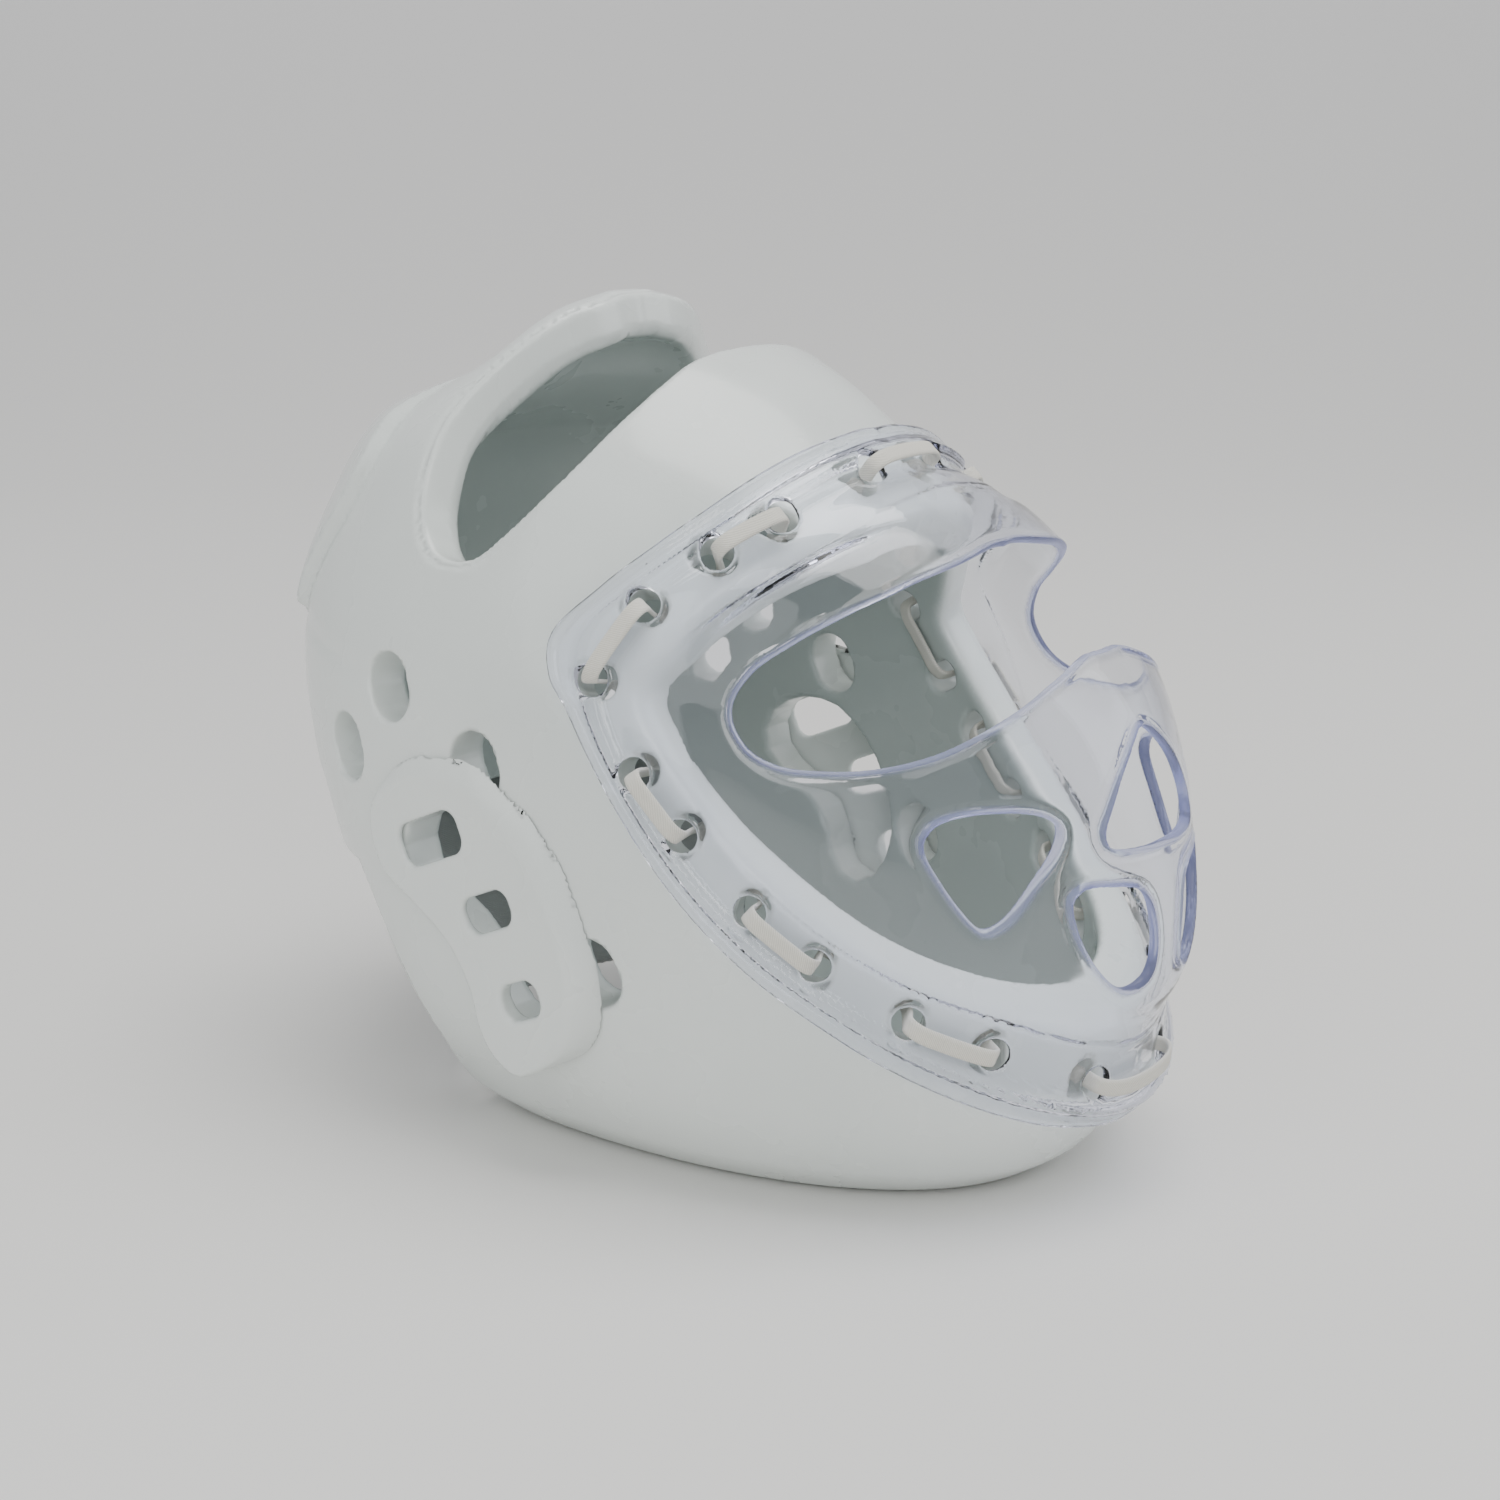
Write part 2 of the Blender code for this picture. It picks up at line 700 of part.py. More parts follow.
def make_shell(parts, cutters, material):
    levels = shell_heights()
    inside = [form_ring(SHELL_FORM, z, SHELL_TURNS, -SHELL_WALL) for z in reversed(levels)]
    outside = [form_ring(SHELL_FORM, z, SHELL_TURNS) for z in levels]
    shell = add_object("shell", loft(inside + outside), parts, material)
    cut(shell, panel(cutters), "UNION")
    reach = 2 * SHELL_BACK
    cut(shell, box("floor_cutter", (-reach, -reach, -reach), (reach, reach, 0), cutters))
    face_clocks = even_clocks(48)
    cut(shell, cone(FACE_ROWS, "foam_edge", FACE, SHELL_FORM, face_clocks, "face_cutter", cutters))
    near = [row.clock for row in CROWN_ROWS]
    crown_clocks = near + [360 - clock for clock in reversed(near[1:-1])]
    cut(shell, cone(CROWN_ROWS, "spread", CROWN, SHELL_FORM, crown_clocks, "crown_cutter", cutters))
    cut(shell, ear_hole_cutter(cutters))
    cut(shell, foam_vent_cutter(cutters))
    cut(shell, notch_cutter(cutters))
    slack = 2 * FIT_GAP
    slit = band("slit_cutter", BAND_TUCK + slack, slack, BAND_THICKNESS + 2 * slack, cutters)
    cut(shell, slit)
    cut(shell, lace_hole_cutter("foam_hole_cutter", FOAM_HOLE, FOAM_HOLE_LENGTH, cutters))
    return shell


def make_ear_pad(side, name, parts, cutters, material, grown_shell, slots):
    rings = [
        pad_ring(side, PAD_ROOT, PAD_FLARE, PAD_SHOULDER),
        pad_ring(side, (PAD_ROOT + PAD_FACE) / 2 + PAD_SHOULDER, PAD_FLARE, PAD_SHOULDER),
        pad_ring(side, PAD_FACE - PAD_SHOULDER, PAD_FLARE * 0.45, PAD_SHOULDER * 0.6),
        pad_ring(side, PAD_FACE, 0, 0),
    ]
    pad = add_object(name, loft(rings), parts, material)
    cut(pad, grown_shell)
    cut(pad, slots)
    return pad


def standoff_at(clock):
    """Gap between the foam and the underside of the mask where it rests."""
    return MASK_STANDOFF * spread_at(FACE_ROWS, "standoff", clock)


def mask_point(clock, step, over):
    """A point of the mask; over adds the wall, so that 0 is the underside and 1 the outside."""
    edge = spread_at(FACE_ROWS, "bulge_edge", clock)
    rim = spread_at(FACE_ROWS, "mask_rim", clock)
    spread = edge * min(step.place, 1) + (rim - edge) * max(step.place - 1, 0)
    direction = FACE.direction(clock, spread)
    foam = SHELL_FORM.meet(FACE.centre, direction)
    on_foam = FACE.centre + direction * foam
    normal = SHELL_FORM.normal(on_foam)
    lean = max(normal.dot(direction), 0.5)
    resting = foam + standoff_at(clock) * step.lift / lean
    bulging = max(MASK_FORM.meet(FACE.centre, direction) - MASK_WALL, resting)
    reach = resting + (bulging - resting) * step.bulge
    p = FACE.centre + direction * reach
    way = normal * (1 - step.bulge) + direction * step.bulge
    return p + way.normalized() * MASK_WALL * step.wall * over


def mask_ring(step, over):
    return [
        mask_point(360 * (k + 0.5) / MASK_TURNS, step, over) for k in range(MASK_TURNS)
    ]


def vent_outline(vent, mirror):
    """Directions round a vent with softened corners and slightly bowed sides."""
    corners = [FACE.direction(mirror * c, s) for c, s in zip(vent.clocks, vent.spreads)]
    middle = sum(corners, Vector()) / len(corners)
    loop = []
    for i, corner in enumerate(corners):
        before, after = corners[i - 1], corners[(i + 1) % len(corners)]
        start = corner.lerp(before, VENT_SOFTNESS)
        end = corner.lerp(after, VENT_SOFTNESS)
        for k in range(5):
            t = k / 4
            loop.append(start * (1 - t) ** 2 + corner * 2 * t * (1 - t) + end * t * t)
        side = corner.lerp(after, 0.5)
        loop.append(side + (side - middle) * 0.12)
    return loop


def vent_cutter(vent, mirror, name, collection):
    loop = vent_outline(vent, mirror)
    rings = [[FACE.centre + p * reach for p in loop] for reach in VENT_REACHES]
    return add_object(name, loft(rings), collection)


def make_mask(parts, cutters, material):
    inside = [mask_ring(step, 0) for step in reversed(MASK_STEPS)]
    outside = [mask_ring(step, 1) for step in MASK_STEPS]
    mask = add_object("mask", loft(inside + outside), parts, material)
    cut(mask, cone(EYE_ROWS, "spread", FACE, MASK_FORM, even_clocks(56), "eye_cutter", cutters))
    for vent in MASK_VENTS:
        for side, mirror in (("right", -1), ("left", 1)):
            cut(mask, vent_cutter(vent, mirror, f"{vent.name}_{side}_cutter", cutters))
    cut(mask, vent_cutter(NOSE_VENT, 1, "nose_cutter", cutters))
    cut(mask, lace_hole_cutter("mask_hole_cutter", MASK_HOLE, MASK_HOLE, cutters))
    return mask


def lace_route():
    """Middle of the lace, the way its flat side faces and the way it runs round the face."""
    places = hole_places()
    count = len(places)
    over_wall = MASK_WALL + LACE_CLEARANCE + LACE_THICKNESS / 2
    below = SHELL_WALL + LACE_CLEARANCE + LACE_THICKNESS / 2
    route = []
    for i, (p, normal, clock) in enumerate(places):
        q, other, _ = places[(i + 1) % count]
        above = standoff_at(clock) * 1.8 + over_wall
        first, second = (-below, above) if i % 2 else (above, -below)
        run = q - places[i - 1][0]
        route.append((p + normal * first, normal, run))
        route.append((p + normal * second, normal, run))
        outwards = ((p + q) / 2 - FACE.centre).normalized()
        on_foam = FACE.centre + outwards * SHELL_FORM.meet(FACE.centre, outwards)
        flat = (normal + other).normalized()
        route.append((on_foam + flat * second, flat, q - p))
    return route


def make_lace(parts, material):
    route = lace_route()
    count = len(route)
    rings = []
    for i, (p, flat, run) in enumerate(route):
        ahead = (route[(i + 1) % count][0] - p).normalized()
        behind = (p - route[i - 1][0]).normalized()
        across = flat.cross(run).normalized()
        over = across.cross(ahead + behind).normalized()
        fold = max(over.dot(across.cross(ahead).normalized()), 0.5)
        wide = across * LACE_WIDTH / 2
        thick = over * LACE_THICKNESS / 2 / fold
        rings.append([p + wide + thick, p - wide + thick, p - wide - thick, p + wide - thick])
    bm = loft(rings + rings[:1], cap=False)
    bmesh.ops.remove_doubles(bm, verts=bm.verts, dist=0.00001)
    return add_object("lace", bm, parts, material)


def build():
    clear_scene()
    parts = make_collection("karate_head_guard")
    cutters = make_collection("cutters")
    foam = make_material("dipped_foam", (0.80, 0.83, 0.81), 0.32)
    clear = make_material("clear_mask", (0.86, 0.88, 0.95), 0.05, alpha=0.35)
    cord = make_material("flat_lace", (0.86, 0.84, 0.76), 0.75)
    elastic = make_material("ribbed_elastic", (0.72, 0.74, 0.73), 0.85)

    make_shell(parts, cutters, foam)
    grown = [form_ring(SHELL_FORM, z, SHELL_TURNS, FIT_GAP) for z in shell_heights()]
    grown_shell = add_object("grown_shell", loft(grown), cutters)
    slots = slot_cutter(cutters)
    make_ear_pad(-1, "ear_pad_right", parts, cutters, foam, grown_shell, slots)
    make_ear_pad(1, "ear_pad_left", parts, cutters, foam, grown_shell, slots)
    make_mask(parts, cutters, clear)
    make_lace(parts, cord)
    band("back_band", BAND_TUCK, 0.0, BAND_THICKNESS, parts, elastic)


build()
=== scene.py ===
import math
import time

import bpy
import numpy as np
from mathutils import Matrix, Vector


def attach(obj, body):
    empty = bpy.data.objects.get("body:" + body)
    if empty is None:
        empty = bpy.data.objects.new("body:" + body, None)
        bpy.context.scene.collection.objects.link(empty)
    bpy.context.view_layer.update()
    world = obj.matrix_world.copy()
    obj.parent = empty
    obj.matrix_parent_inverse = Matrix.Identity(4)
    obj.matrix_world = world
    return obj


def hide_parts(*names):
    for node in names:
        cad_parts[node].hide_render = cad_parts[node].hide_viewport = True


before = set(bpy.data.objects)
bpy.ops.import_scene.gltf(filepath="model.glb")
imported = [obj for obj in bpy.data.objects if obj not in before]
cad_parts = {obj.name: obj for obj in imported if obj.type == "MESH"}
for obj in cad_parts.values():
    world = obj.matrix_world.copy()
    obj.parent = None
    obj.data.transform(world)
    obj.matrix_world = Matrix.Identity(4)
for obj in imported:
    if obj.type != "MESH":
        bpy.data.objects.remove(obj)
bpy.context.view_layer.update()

# All the modelling below is in millimetres, face towards -Y, and goes to metres in makePiece.
# The guard is the same on both sides, so everything is worked out with |x|.
shiftBack = np.array([0, 3.1, 0])   # puts the middle of the guard over the origin
startedAt = time.time()


def report(text):
    print("[%5.1f s] %s" % (time.time() - startedAt, text))


# smooth tables and small field helpers

def smoothCurve(keys, values, at):
    # cubic curve through a table, flat beyond its ends
    keys = np.asarray(keys, float)
    values = np.asarray(values, float)
    at = np.clip(at, keys[0], keys[-1])
    slope = np.empty(len(keys))
    slope[1:-1] = (values[2:] - values[:-2]) / (keys[2:] - keys[:-2])
    slope[0] = (values[1] - values[0]) / (keys[1] - keys[0])
    slope[-1] = (values[-1] - values[-2]) / (keys[-1] - keys[-2])
    i = np.clip(np.searchsorted(keys, at, side="right") - 1, 0, len(keys) - 2)
    step = keys[i + 1] - keys[i]
    t = (at - keys[i]) / step
    start = (1 + 2 * t) * (1 - t) ** 2 * values[i] + t * (1 - t) ** 2 * step * slope[i]
    end = t * t * (3 - 2 * t) * values[i + 1] - t * t * (1 - t) * step * slope[i + 1]
    return start + end


def softMax(a, b, k):
    h = np.maximum(k - np.abs(a - b), 0) / k
    return np.maximum(a, b) + h * h * k / 4


def ease(value, low, high):
    t = np.clip((value - low) / (high - low), 0, 1)
    return t * t * (3 - 2 * t)


def bump(value, centre, width):
    return np.exp(-((value - centre) / width) ** 2)


def unit(v):
    v = np.asarray(v, float)
    return v / np.linalg.norm(v)


# the two main forms, as level sections

# columns: height, front, back, half width, where it is widest, squareness in front and behind
shellRows = np.array([
    (-10, -98, 68, 52, 8, 2.10, 2.30),
    (0, -113, 81, 64, 10, 2.10, 2.30),
    (12, -129, 94, 77, 14, 2.10, 2.35),
    (35, -141, 107, 89, 20, 2.10, 2.40),
    (70, -139, 122, 94.5, 27, 2.15, 2.40),
    (110, -123, 139, 96, 33, 2.20, 2.40),
    (150, -102, 145, 92.5, 37, 2.15, 2.35),
    (185, -78, 134, 82, 39, 2.05, 2.20),
    (212, -48, 114, 70, 38, 2.00, 2.10),
    (232, -20, 72, 50.5, 42, 2.00, 2.00),
    (246, 14, 56, 28, 39, 2.00, 2.00),
    (251, 33, 45, 8, 39, 2.00, 2.00),
], float)
maskRows = np.array([
    (0, -118, 40, 70, -20, 2.20, 2.2),
    (24, -142, 40, 84, -20, 2.10, 2.2),
    (45, -151, 40, 88, -20, 2.05, 2.2),
    (80, -156, 40, 90, -20, 2.00, 2.2),
    (110, -153, 40, 89, -20, 2.00, 2.2),
    (140, -145, 40, 86, -18, 2.00, 2.2),
    (161, -131, 40, 82, -14, 2.05, 2.2),
    (186, -101, 50, 75, 0, 2.15, 2.2),
    (200, -80, 60, 66, 12, 2.15, 2.2),
    (216, -54, 60, 54, 25, 2.10, 2.1),
    (235, -15, 60, 30, 30, 2.10, 2.1),
], float)


def sectionTable(rows, top):
    levels = np.arange(rows[0, 0], top + 0.1, 0.2)
    return levels, [smoothCurve(rows[:, 0], rows[:, k], levels) for k in range(1, 7)]


def isOutside(table, x, y, z):
    levels, columns = table
    front, back, half, centre, frontSquare, backSquare = [np.interp(z, levels, c) for c in columns]
    ahead = centre - y
    reach = np.where(ahead > 0, centre - front, back - centre)
    square = np.where(ahead > 0, frontSquare, backSquare)
    value = (np.abs(ahead) / reach) ** square + (np.abs(x) / half) ** square
    return (value > 1) | (z > levels[-1])


def radialTable(table, centre, directions):
    # distance from the centre to the form along each direction
    low = np.zeros(directions.shape[:-1])
    high = np.full(directions.shape[:-1], 400.0)
    for _ in range(26):
        middle = (low + high) / 2
        p = centre + directions * middle[..., None]
        out = isOutside(table, p[..., 0], p[..., 1], p[..., 2])
        low, high = np.where(out, low, middle), np.where(out, middle, high)
    return low


shellTable = sectionTable(shellRows, 251)
maskTable = sectionTable(maskRows, 251)


class Lookout:
    # polar coordinates round an axis: clock 0..180 from up, down either side, and spread off the axis
    def __init__(self, centre, axis, up, mostSpread, step):
        self.centre = np.array(centre, float)
        self.axis = unit(axis)
        self.up = unit(up)
        self.step = step
        self.clocks = np.arange(0, 180 + step / 2, step)
        self.spreads = np.arange(0, mostSpread + step / 2, step)
        clock, spread = np.meshgrid(self.clocks, self.spreads, indexing="ij")
        self.grid = self.direction(clock, spread)

    def direction(self, clock, spread):
        c, s = np.radians(clock)[..., None], np.radians(spread)[..., None]
        side = np.array([1.0, 0, 0])
        around = self.up * np.cos(c) + side * np.sin(c)
        return self.axis * np.cos(s) + around * np.sin(s)

    def readings(self, points):
        v = points - self.centre
        away = np.linalg.norm(v, axis=-1) + 1e-9
        ahead = v @ self.axis / away
        clock = np.degrees(np.arctan2(np.abs(v[..., 0]), v @ self.up))
        return clock, np.degrees(np.arccos(np.clip(ahead, -1, 1))), away

    def lookUp(self, values, clock, spread):
        a = np.clip(clock / self.step, 0, len(self.clocks) - 1.001)
        b = np.clip(spread / self.step, 0, len(self.spreads) - 1.001)
        i, j = a.astype(int), b.astype(int)
        a, b = a - i, b - j
        return (values[i, j] * (1 - a) * (1 - b) + values[i + 1, j] * a * (1 - b)
                + values[i, j + 1] * (1 - a) * b + values[i + 1, j + 1] * a * b)

    def lean(self, radii):
        # how square each direction meets a surface given by its radii
        step = math.radians(self.step)
        acrossClock, acrossSpread = np.gradient(radii, step)
        around = np.maximum(np.sin(np.radians(self.spreads)), 0.03)[None, :]
        tilt = (acrossSpread / radii) ** 2 + (acrossClock / radii / around) ** 2
        return 1 / np.sqrt(1 + tilt)

    def outline(self, clocks, spreads):
        # signed distance in degrees outside an outline, evened out where it runs slantwise
        edge = smoothCurve(clocks, spreads, self.clocks)
        slope = np.gradient(edge, self.step)[:, None]
        around = np.maximum(np.sin(np.radians(self.spreads)), 0.06)[None, :]
        return (self.spreads[None, :] - edge[:, None]) / np.sqrt(1 + (slope / around) ** 2)


tilt = math.radians(24)
face = Lookout((0, -30, 125), (0, -math.cos(tilt), math.sin(tilt)), (0, math.sin(tilt), math.cos(tilt)), 115, 0.5)
crown = Lookout((0, 14, 150), (0, 0, 1), (0, -1, 0), 90, 0.5)
middle = Lookout((0, 8, 118), (0, 0, 1), (0, -1, 0), 180, 0.75)

shellFromFace = radialTable(shellTable, face.centre, face.grid)
shellFromMiddle = radialTable(shellTable, middle.centre, middle.grid)
shellLean = middle.lean(shellFromMiddle)
report("main forms ready")


# outlines round the face and the crown, as clock and spread in degrees

faceClocks = (0, 15, 30, 42, 50, 57, 63, 70, 76, 84, 95, 110, 125, 140, 155, 168, 180)
maskRim = (52, 53.6, 58.5, 65.7, 74, 84, 92.8, 95, 93.6, 92.3, 90.2, 86.4, 81, 74.2, 68.5, 65.6, 65)
foamEdge = (34, 35, 37.6, 44, 50.7, 58.5, 65.6, 74, 80.5, 80, 77, 72.3, 67.4, 63, 58.4, 56, 55.5)
bulgeEdge = (33, 33.5, 36, 41, 47, 54, 62, 72, 78, 79, 77.5, 73.5, 68.5, 63, 58, 56.5, 56.5)
standoff = (2.2, 2.2, 1.9, 1.5, 1.2, 1, 1, 1, 1, 1, 1, 1, 1, 1, 1.4, 2.0, 2.3)
eyeClocks = (0, 30, 48, 62, 69, 74, 78, 84, 92, 98, 103, 107, 111, 114, 118, 128, 150, 180)
eyeEdge = (17.5, 19.5, 24, 32.5, 41, 50, 58, 63.5, 63, 58.5, 51, 44, 35, 25, 15, 8, 5.2, 4.5)
crownClocks = (0, 22, 40, 54, 64, 72, 79.5, 86.5, 94.2, 99, 104, 109, 113.5, 117, 120.2, 122.5, 124.6, 126.2,
               128.8, 135, 146, 162, 180)
crownEdge = (14.3, 15.2, 17.8, 22.3, 29.7, 38.6, 48.7, 56.9, 65.2, 69.8, 71.6, 71.4, 68.4, 62.8, 54.2, 47.5, 38.8, 30,
             23.5, 17.5, 14.2, 12.7, 12.2)
laceHoles = ((14, 46), (40, 54.8), (50.6, 64.8), (60.5, 77.5), (72, 88.5), (90, 85.5),
             (103.5, 81), (120, 75.5), (132, 71), (146, 66), (157, 62.4), (172, 61.4))


def shellNormal(points):
    # outward normal of the foam's main form, by small differences
    def height(p):
        clock, spread, away = middle.readings(p)
        return away - middle.lookUp(shellFromMiddle, clock, spread)
    d = 0.8
    steps = np.eye(3) * d
    n = np.stack([height(points + s) - height(points - s) for s in steps], -1)
    return n / np.linalg.norm(n, axis=-1, keepdims=True)


def onShell(clock, spread):
    direction = face.direction(np.array(float(clock)), np.array(float(spread)))
    p = face.centre + direction * face.lookUp(shellFromFace, np.array(float(clock)), np.array(float(spread)))
    return p, shellNormal(p[None])[0]


holePlaces = [onShell(clock, spread) for clock, spread in laceHoles]


def capsule(points, centre, axis, along, halfLength, radius):
    # distance to a round-ended slot that runs through a point along an axis
    axis = unit(axis)
    along = unit(along - axis * np.dot(along, axis))
    v = points - centre
    v = v - (v @ axis)[..., None] * axis
    t = np.clip(v @ along, -halfLength, halfLength)
    return np.linalg.norm(v - t[..., None] * along, axis=-1) - radius


# surface from a field

def surfaceNet(field, low, high, step):
    # one point in each cell that the surface crosses, joined across each crossed grid edge
    axes = [np.arange(a, b + step, step) for a, b in zip(low, high)]
    shape = tuple(len(a) for a in axes)
    values = np.empty(shape, np.float32)
    for i, x in enumerate(axes[0]):
        y, z = np.meshgrid(axes[1], axes[2], indexing="ij")
        values[i] = field(np.stack([np.full_like(y, x), y, z], -1).reshape(-1, 3)).reshape(y.shape)
    inside = values < 0
    counts = np.zeros(tuple(n - 1 for n in shape), np.uint8)
    corners = [(a, b, c) for a in (0, 1) for b in (0, 1) for c in (0, 1)]

    def part(array, a, b, c):
        return array[a:shape[0] - 1 + a, b:shape[1] - 1 + b, c:shape[2] - 1 + c]

    for corner in corners:
        counts += part(inside, *corner)
    crossed = (counts > 0) & (counts < 8)
    index = np.full(crossed.shape, -1, np.int32)
    index[crossed] = np.arange(crossed.sum())
    cells = np.argwhere(crossed)
    total = np.zeros((len(cells), 3))
    hits = np.zeros(len(cells))
    for a, b in [(p, q) for p in corners for q in corners if p < q and sum(abs(i - j) for i, j in zip(p, q)) == 1]:
        va = values[tuple((cells + a).T)]
        vb = values[tuple((cells + b).T)]
        cut = (va < 0) != (vb < 0)
        t = np.where(cut, va / np.where(cut, va - vb, 1), 0)
        total += np.where(cut[:, None], np.array(a) + t[:, None] * (np.array(b) - np.array(a)), 0)
        hits += cut
    points = np.array(low) + (cells + total / hits[:, None]) * step
    faces = []
    for axis in range(3):
        u, v = (axis + 1) % 3, (axis + 2) % 3
        first = [slice(1, n - 1) for n in shape]
        second = list(first)
        first[axis], second[axis] = slice(0, shape[axis] - 1), slice(1, shape[axis])
        a, b = inside[tuple(first)], inside[tuple(second)]
        for fromInside in (True, False):
            edges = np.argwhere((a != b) & (a == fromInside))
            edges[:, u] += 1
            edges[:, v] += 1
            around = []
            for du, dv in ((-1, -1), (0, -1), (0, 0), (-1, 0)):
                cell = edges.copy()
                cell[:, u] += du
                cell[:, v] += dv
                around.append(index[tuple(cell.T)])
            quad = np.stack(around, 1)
            faces.append(quad if fromInside else quad[:, ::-1])
    faces = np.concatenate(faces)
    return points, faces[(faces >= 0).all(1)]


def gradient(field, points, d=0.35):
    return np.stack([field(points + s) - field(points - s) for s in np.eye(3) * d], -1) / (2 * d)


def settle(field, points, rounds, most):
    # move points along the field onto the surface
    for _ in range(rounds):
        g = gradient(field, points)
        size = np.maximum((g * g).sum(-1, keepdims=True), 0.04)
        points = points - np.clip(field(points)[:, None] * g / size, -most, most)
    return points


def makePiece(name, points, faces, material, mostTriangles=None, field=None, paint=None, shadingField=None):
    mesh = bpy.data.meshes.new(name)
    mesh.from_pydata(((points + shiftBack) * 0.001).tolist(), [], faces.tolist())
    piece = bpy.data.objects.new(name, mesh)
    bpy.context.scene.collection.objects.link(piece)
    if mostTriangles and len(faces) * 2 > mostTriangles:
        modifier = piece.modifiers.new("fewer faces", "DECIMATE")
        modifier.ratio = mostTriangles / (len(faces) * 2)
        graph = bpy.context.evaluated_depsgraph_get()
        thinned = bpy.data.meshes.new_from_object(piece.evaluated_get(graph))
        piece.modifiers.clear()
        piece.data = thinned
        mesh = thinned
        mesh.name = name
    mesh.shade_smooth()
    if field:
        count = len(mesh.vertices)
        co = np.empty(count * 3, np.float32)
        mesh.vertices.foreach_get("co", co)
        p = settle(field, co.reshape(-1, 3).astype(float) * 1000 - shiftBack, 2, 0.6)
        mesh.vertices.foreach_set("co", ((p + shiftBack) * 0.001).astype(np.float32).ravel())
        mesh.update()
        g = gradient(shadingField or field, p)
        n = g / np.maximum(np.linalg.norm(g, axis=-1, keepdims=True), 1e-6)
        mesh.normals_split_custom_set_from_vertices(n.tolist())
        if paint:
            mesh.attributes.new("inside", "FLOAT", "POINT").data.foreach_set("value", paint(p).astype(np.float32))
    mesh.materials.append(material)
    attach(piece, "root")
    return piece


# materials

def newMaterial(name):
    material = bpy.data.materials.new(name)
    material.use_nodes = True
    nodes = material.node_tree.nodes
    return material, nodes, material.node_tree.links, nodes["Principled BSDF"]


def noiseNode(nodes, links, place, scale, detail, rough=0.5):
    noise = nodes.new("ShaderNodeTexNoise")
    noise.inputs["Scale"].default_value = scale
    noise.inputs["Detail"].default_value = detail
    noise.inputs["Roughness"].default_value = rough
    links.new(place, noise.inputs["Vector"])
    return noise.outputs["Fac"]


def rampNode(nodes, links, value, low, high, first, last):
    ramp = nodes.new("ShaderNodeMapRange")
    ramp.interpolation_type = "SMOOTHSTEP"
    for name, number in (("From Min", low), ("From Max", high), ("To Min", first), ("To Max", last)):
        ramp.inputs[name].default_value = number
    links.new(value, ramp.inputs["Value"])
    return ramp.outputs["Result"]


def mixNode(nodes, links, factor, first, last):
    mix = nodes.new("ShaderNodeMix")
    mix.data_type = "RGBA"
    for socket, value in ((mix.inputs["Factor"], factor), (mix.inputs[6], first), (mix.inputs[7], last)):
        if isinstance(value, tuple):
            socket.default_value = (*value, 1)
        else:
            links.new(value, socket)
    return mix.outputs[2]


def mathNode(nodes, links, operation, first, last):
    node = nodes.new("ShaderNodeMath")
    node.operation = operation
    for socket, value in zip(node.inputs, (first, last)):
        if isinstance(value, (int, float)):
            socket.default_value = value
        else:
            links.new(value, socket)
    return node.outputs[0]


def bumpNode(nodes, links, height, strength, distance, normal=None):
    node = nodes.new("ShaderNodeBump")
    node.inputs["Strength"].default_value = strength
    node.inputs["Distance"].default_value = distance
    links.new(height, node.inputs["Height"])
    if normal:
        links.new(normal, node.inputs["Normal"])
    return node.outputs["Normal"]


foamFinish = {
    "colour": (0.755, 0.795, 0.765),
    "shade": (0.70, 0.745, 0.715),
    "greyLiningAndShade": (0.50, 0.56, 0.535),   # inner face: the lining's own grey-green, darkened further as painted shade for the hollow; see the "inside" attribute
    "speck": (0.10, 0.11, 0.11),
    "roughness": 0.25,
    "skinScale": 900,
    "creaseScale": 38,
}


def foamMaterial():
    f = foamFinish
    material, nodes, links, shader = newMaterial("dippedFoam")
    place = nodes.new("ShaderNodeTexCoord").outputs["Object"]
    broad = noiseNode(nodes, links, place, 9, 3)
    colour = mixNode(nodes, links, rampNode(nodes, links, broad, 0.35, 0.7, 0, 1), f["colour"], f["shade"])
    # the inner face is greyer and darker: the lining's own tint plus painted shade for the hollow
    inside = nodes.new("ShaderNodeAttribute")
    inside.attribute_name = "inside"
    colour = mixNode(nodes, links, inside.outputs["Fac"], colour, f["greyLiningAndShade"])
    # a few dark specks caught in the skin
    dots = nodes.new("ShaderNodeTexVoronoi")
    dots.inputs["Scale"].default_value = 260
    links.new(place, dots.inputs["Vector"])
    dot = rampNode(nodes, links, dots.outputs["Distance"], 0.05, 0.11, 1, 0)
    where = rampNode(nodes, links, noiseNode(nodes, links, place, 30, 2), 0.66, 0.72, 0, 0.75)
    colour = mixNode(nodes, links, mathNode(nodes, links, "MULTIPLY", dot, where), colour, f["speck"])
    links.new(colour, shader.inputs["Base Color"])
    smear = noiseNode(nodes, links, place, 22, 4)
    rough = rampNode(nodes, links, smear, 0.3, 0.75, f["roughness"] - 0.06, f["roughness"] + 0.12)
    links.new(rough, shader.inputs["Roughness"])
    shader.inputs["Coat Weight"].default_value = 0.4
    shader.inputs["Coat Roughness"].default_value = 0.11
    skin = noiseNode(nodes, links, place, f["skinScale"], 2)
    crease = noiseNode(nodes, links, place, f["creaseScale"], 5, 0.6)
    first = bumpNode(nodes, links, skin, 0.10, 0.0002)
    links.new(bumpNode(nodes, links, crease, 0.16, 0.0010, first), shader.inputs["Normal"])
    return material


clearFinish = {
    "colour": (0.97, 0.98, 1.0),
    "edge": (0.50, 0.53, 0.82),
    "density": 30.0,
    "cutEdge": (0.42, 0.45, 0.74),
    "cutShare": 0.5,
    "roughness": 0.03,
    "frost": 0.22,
}


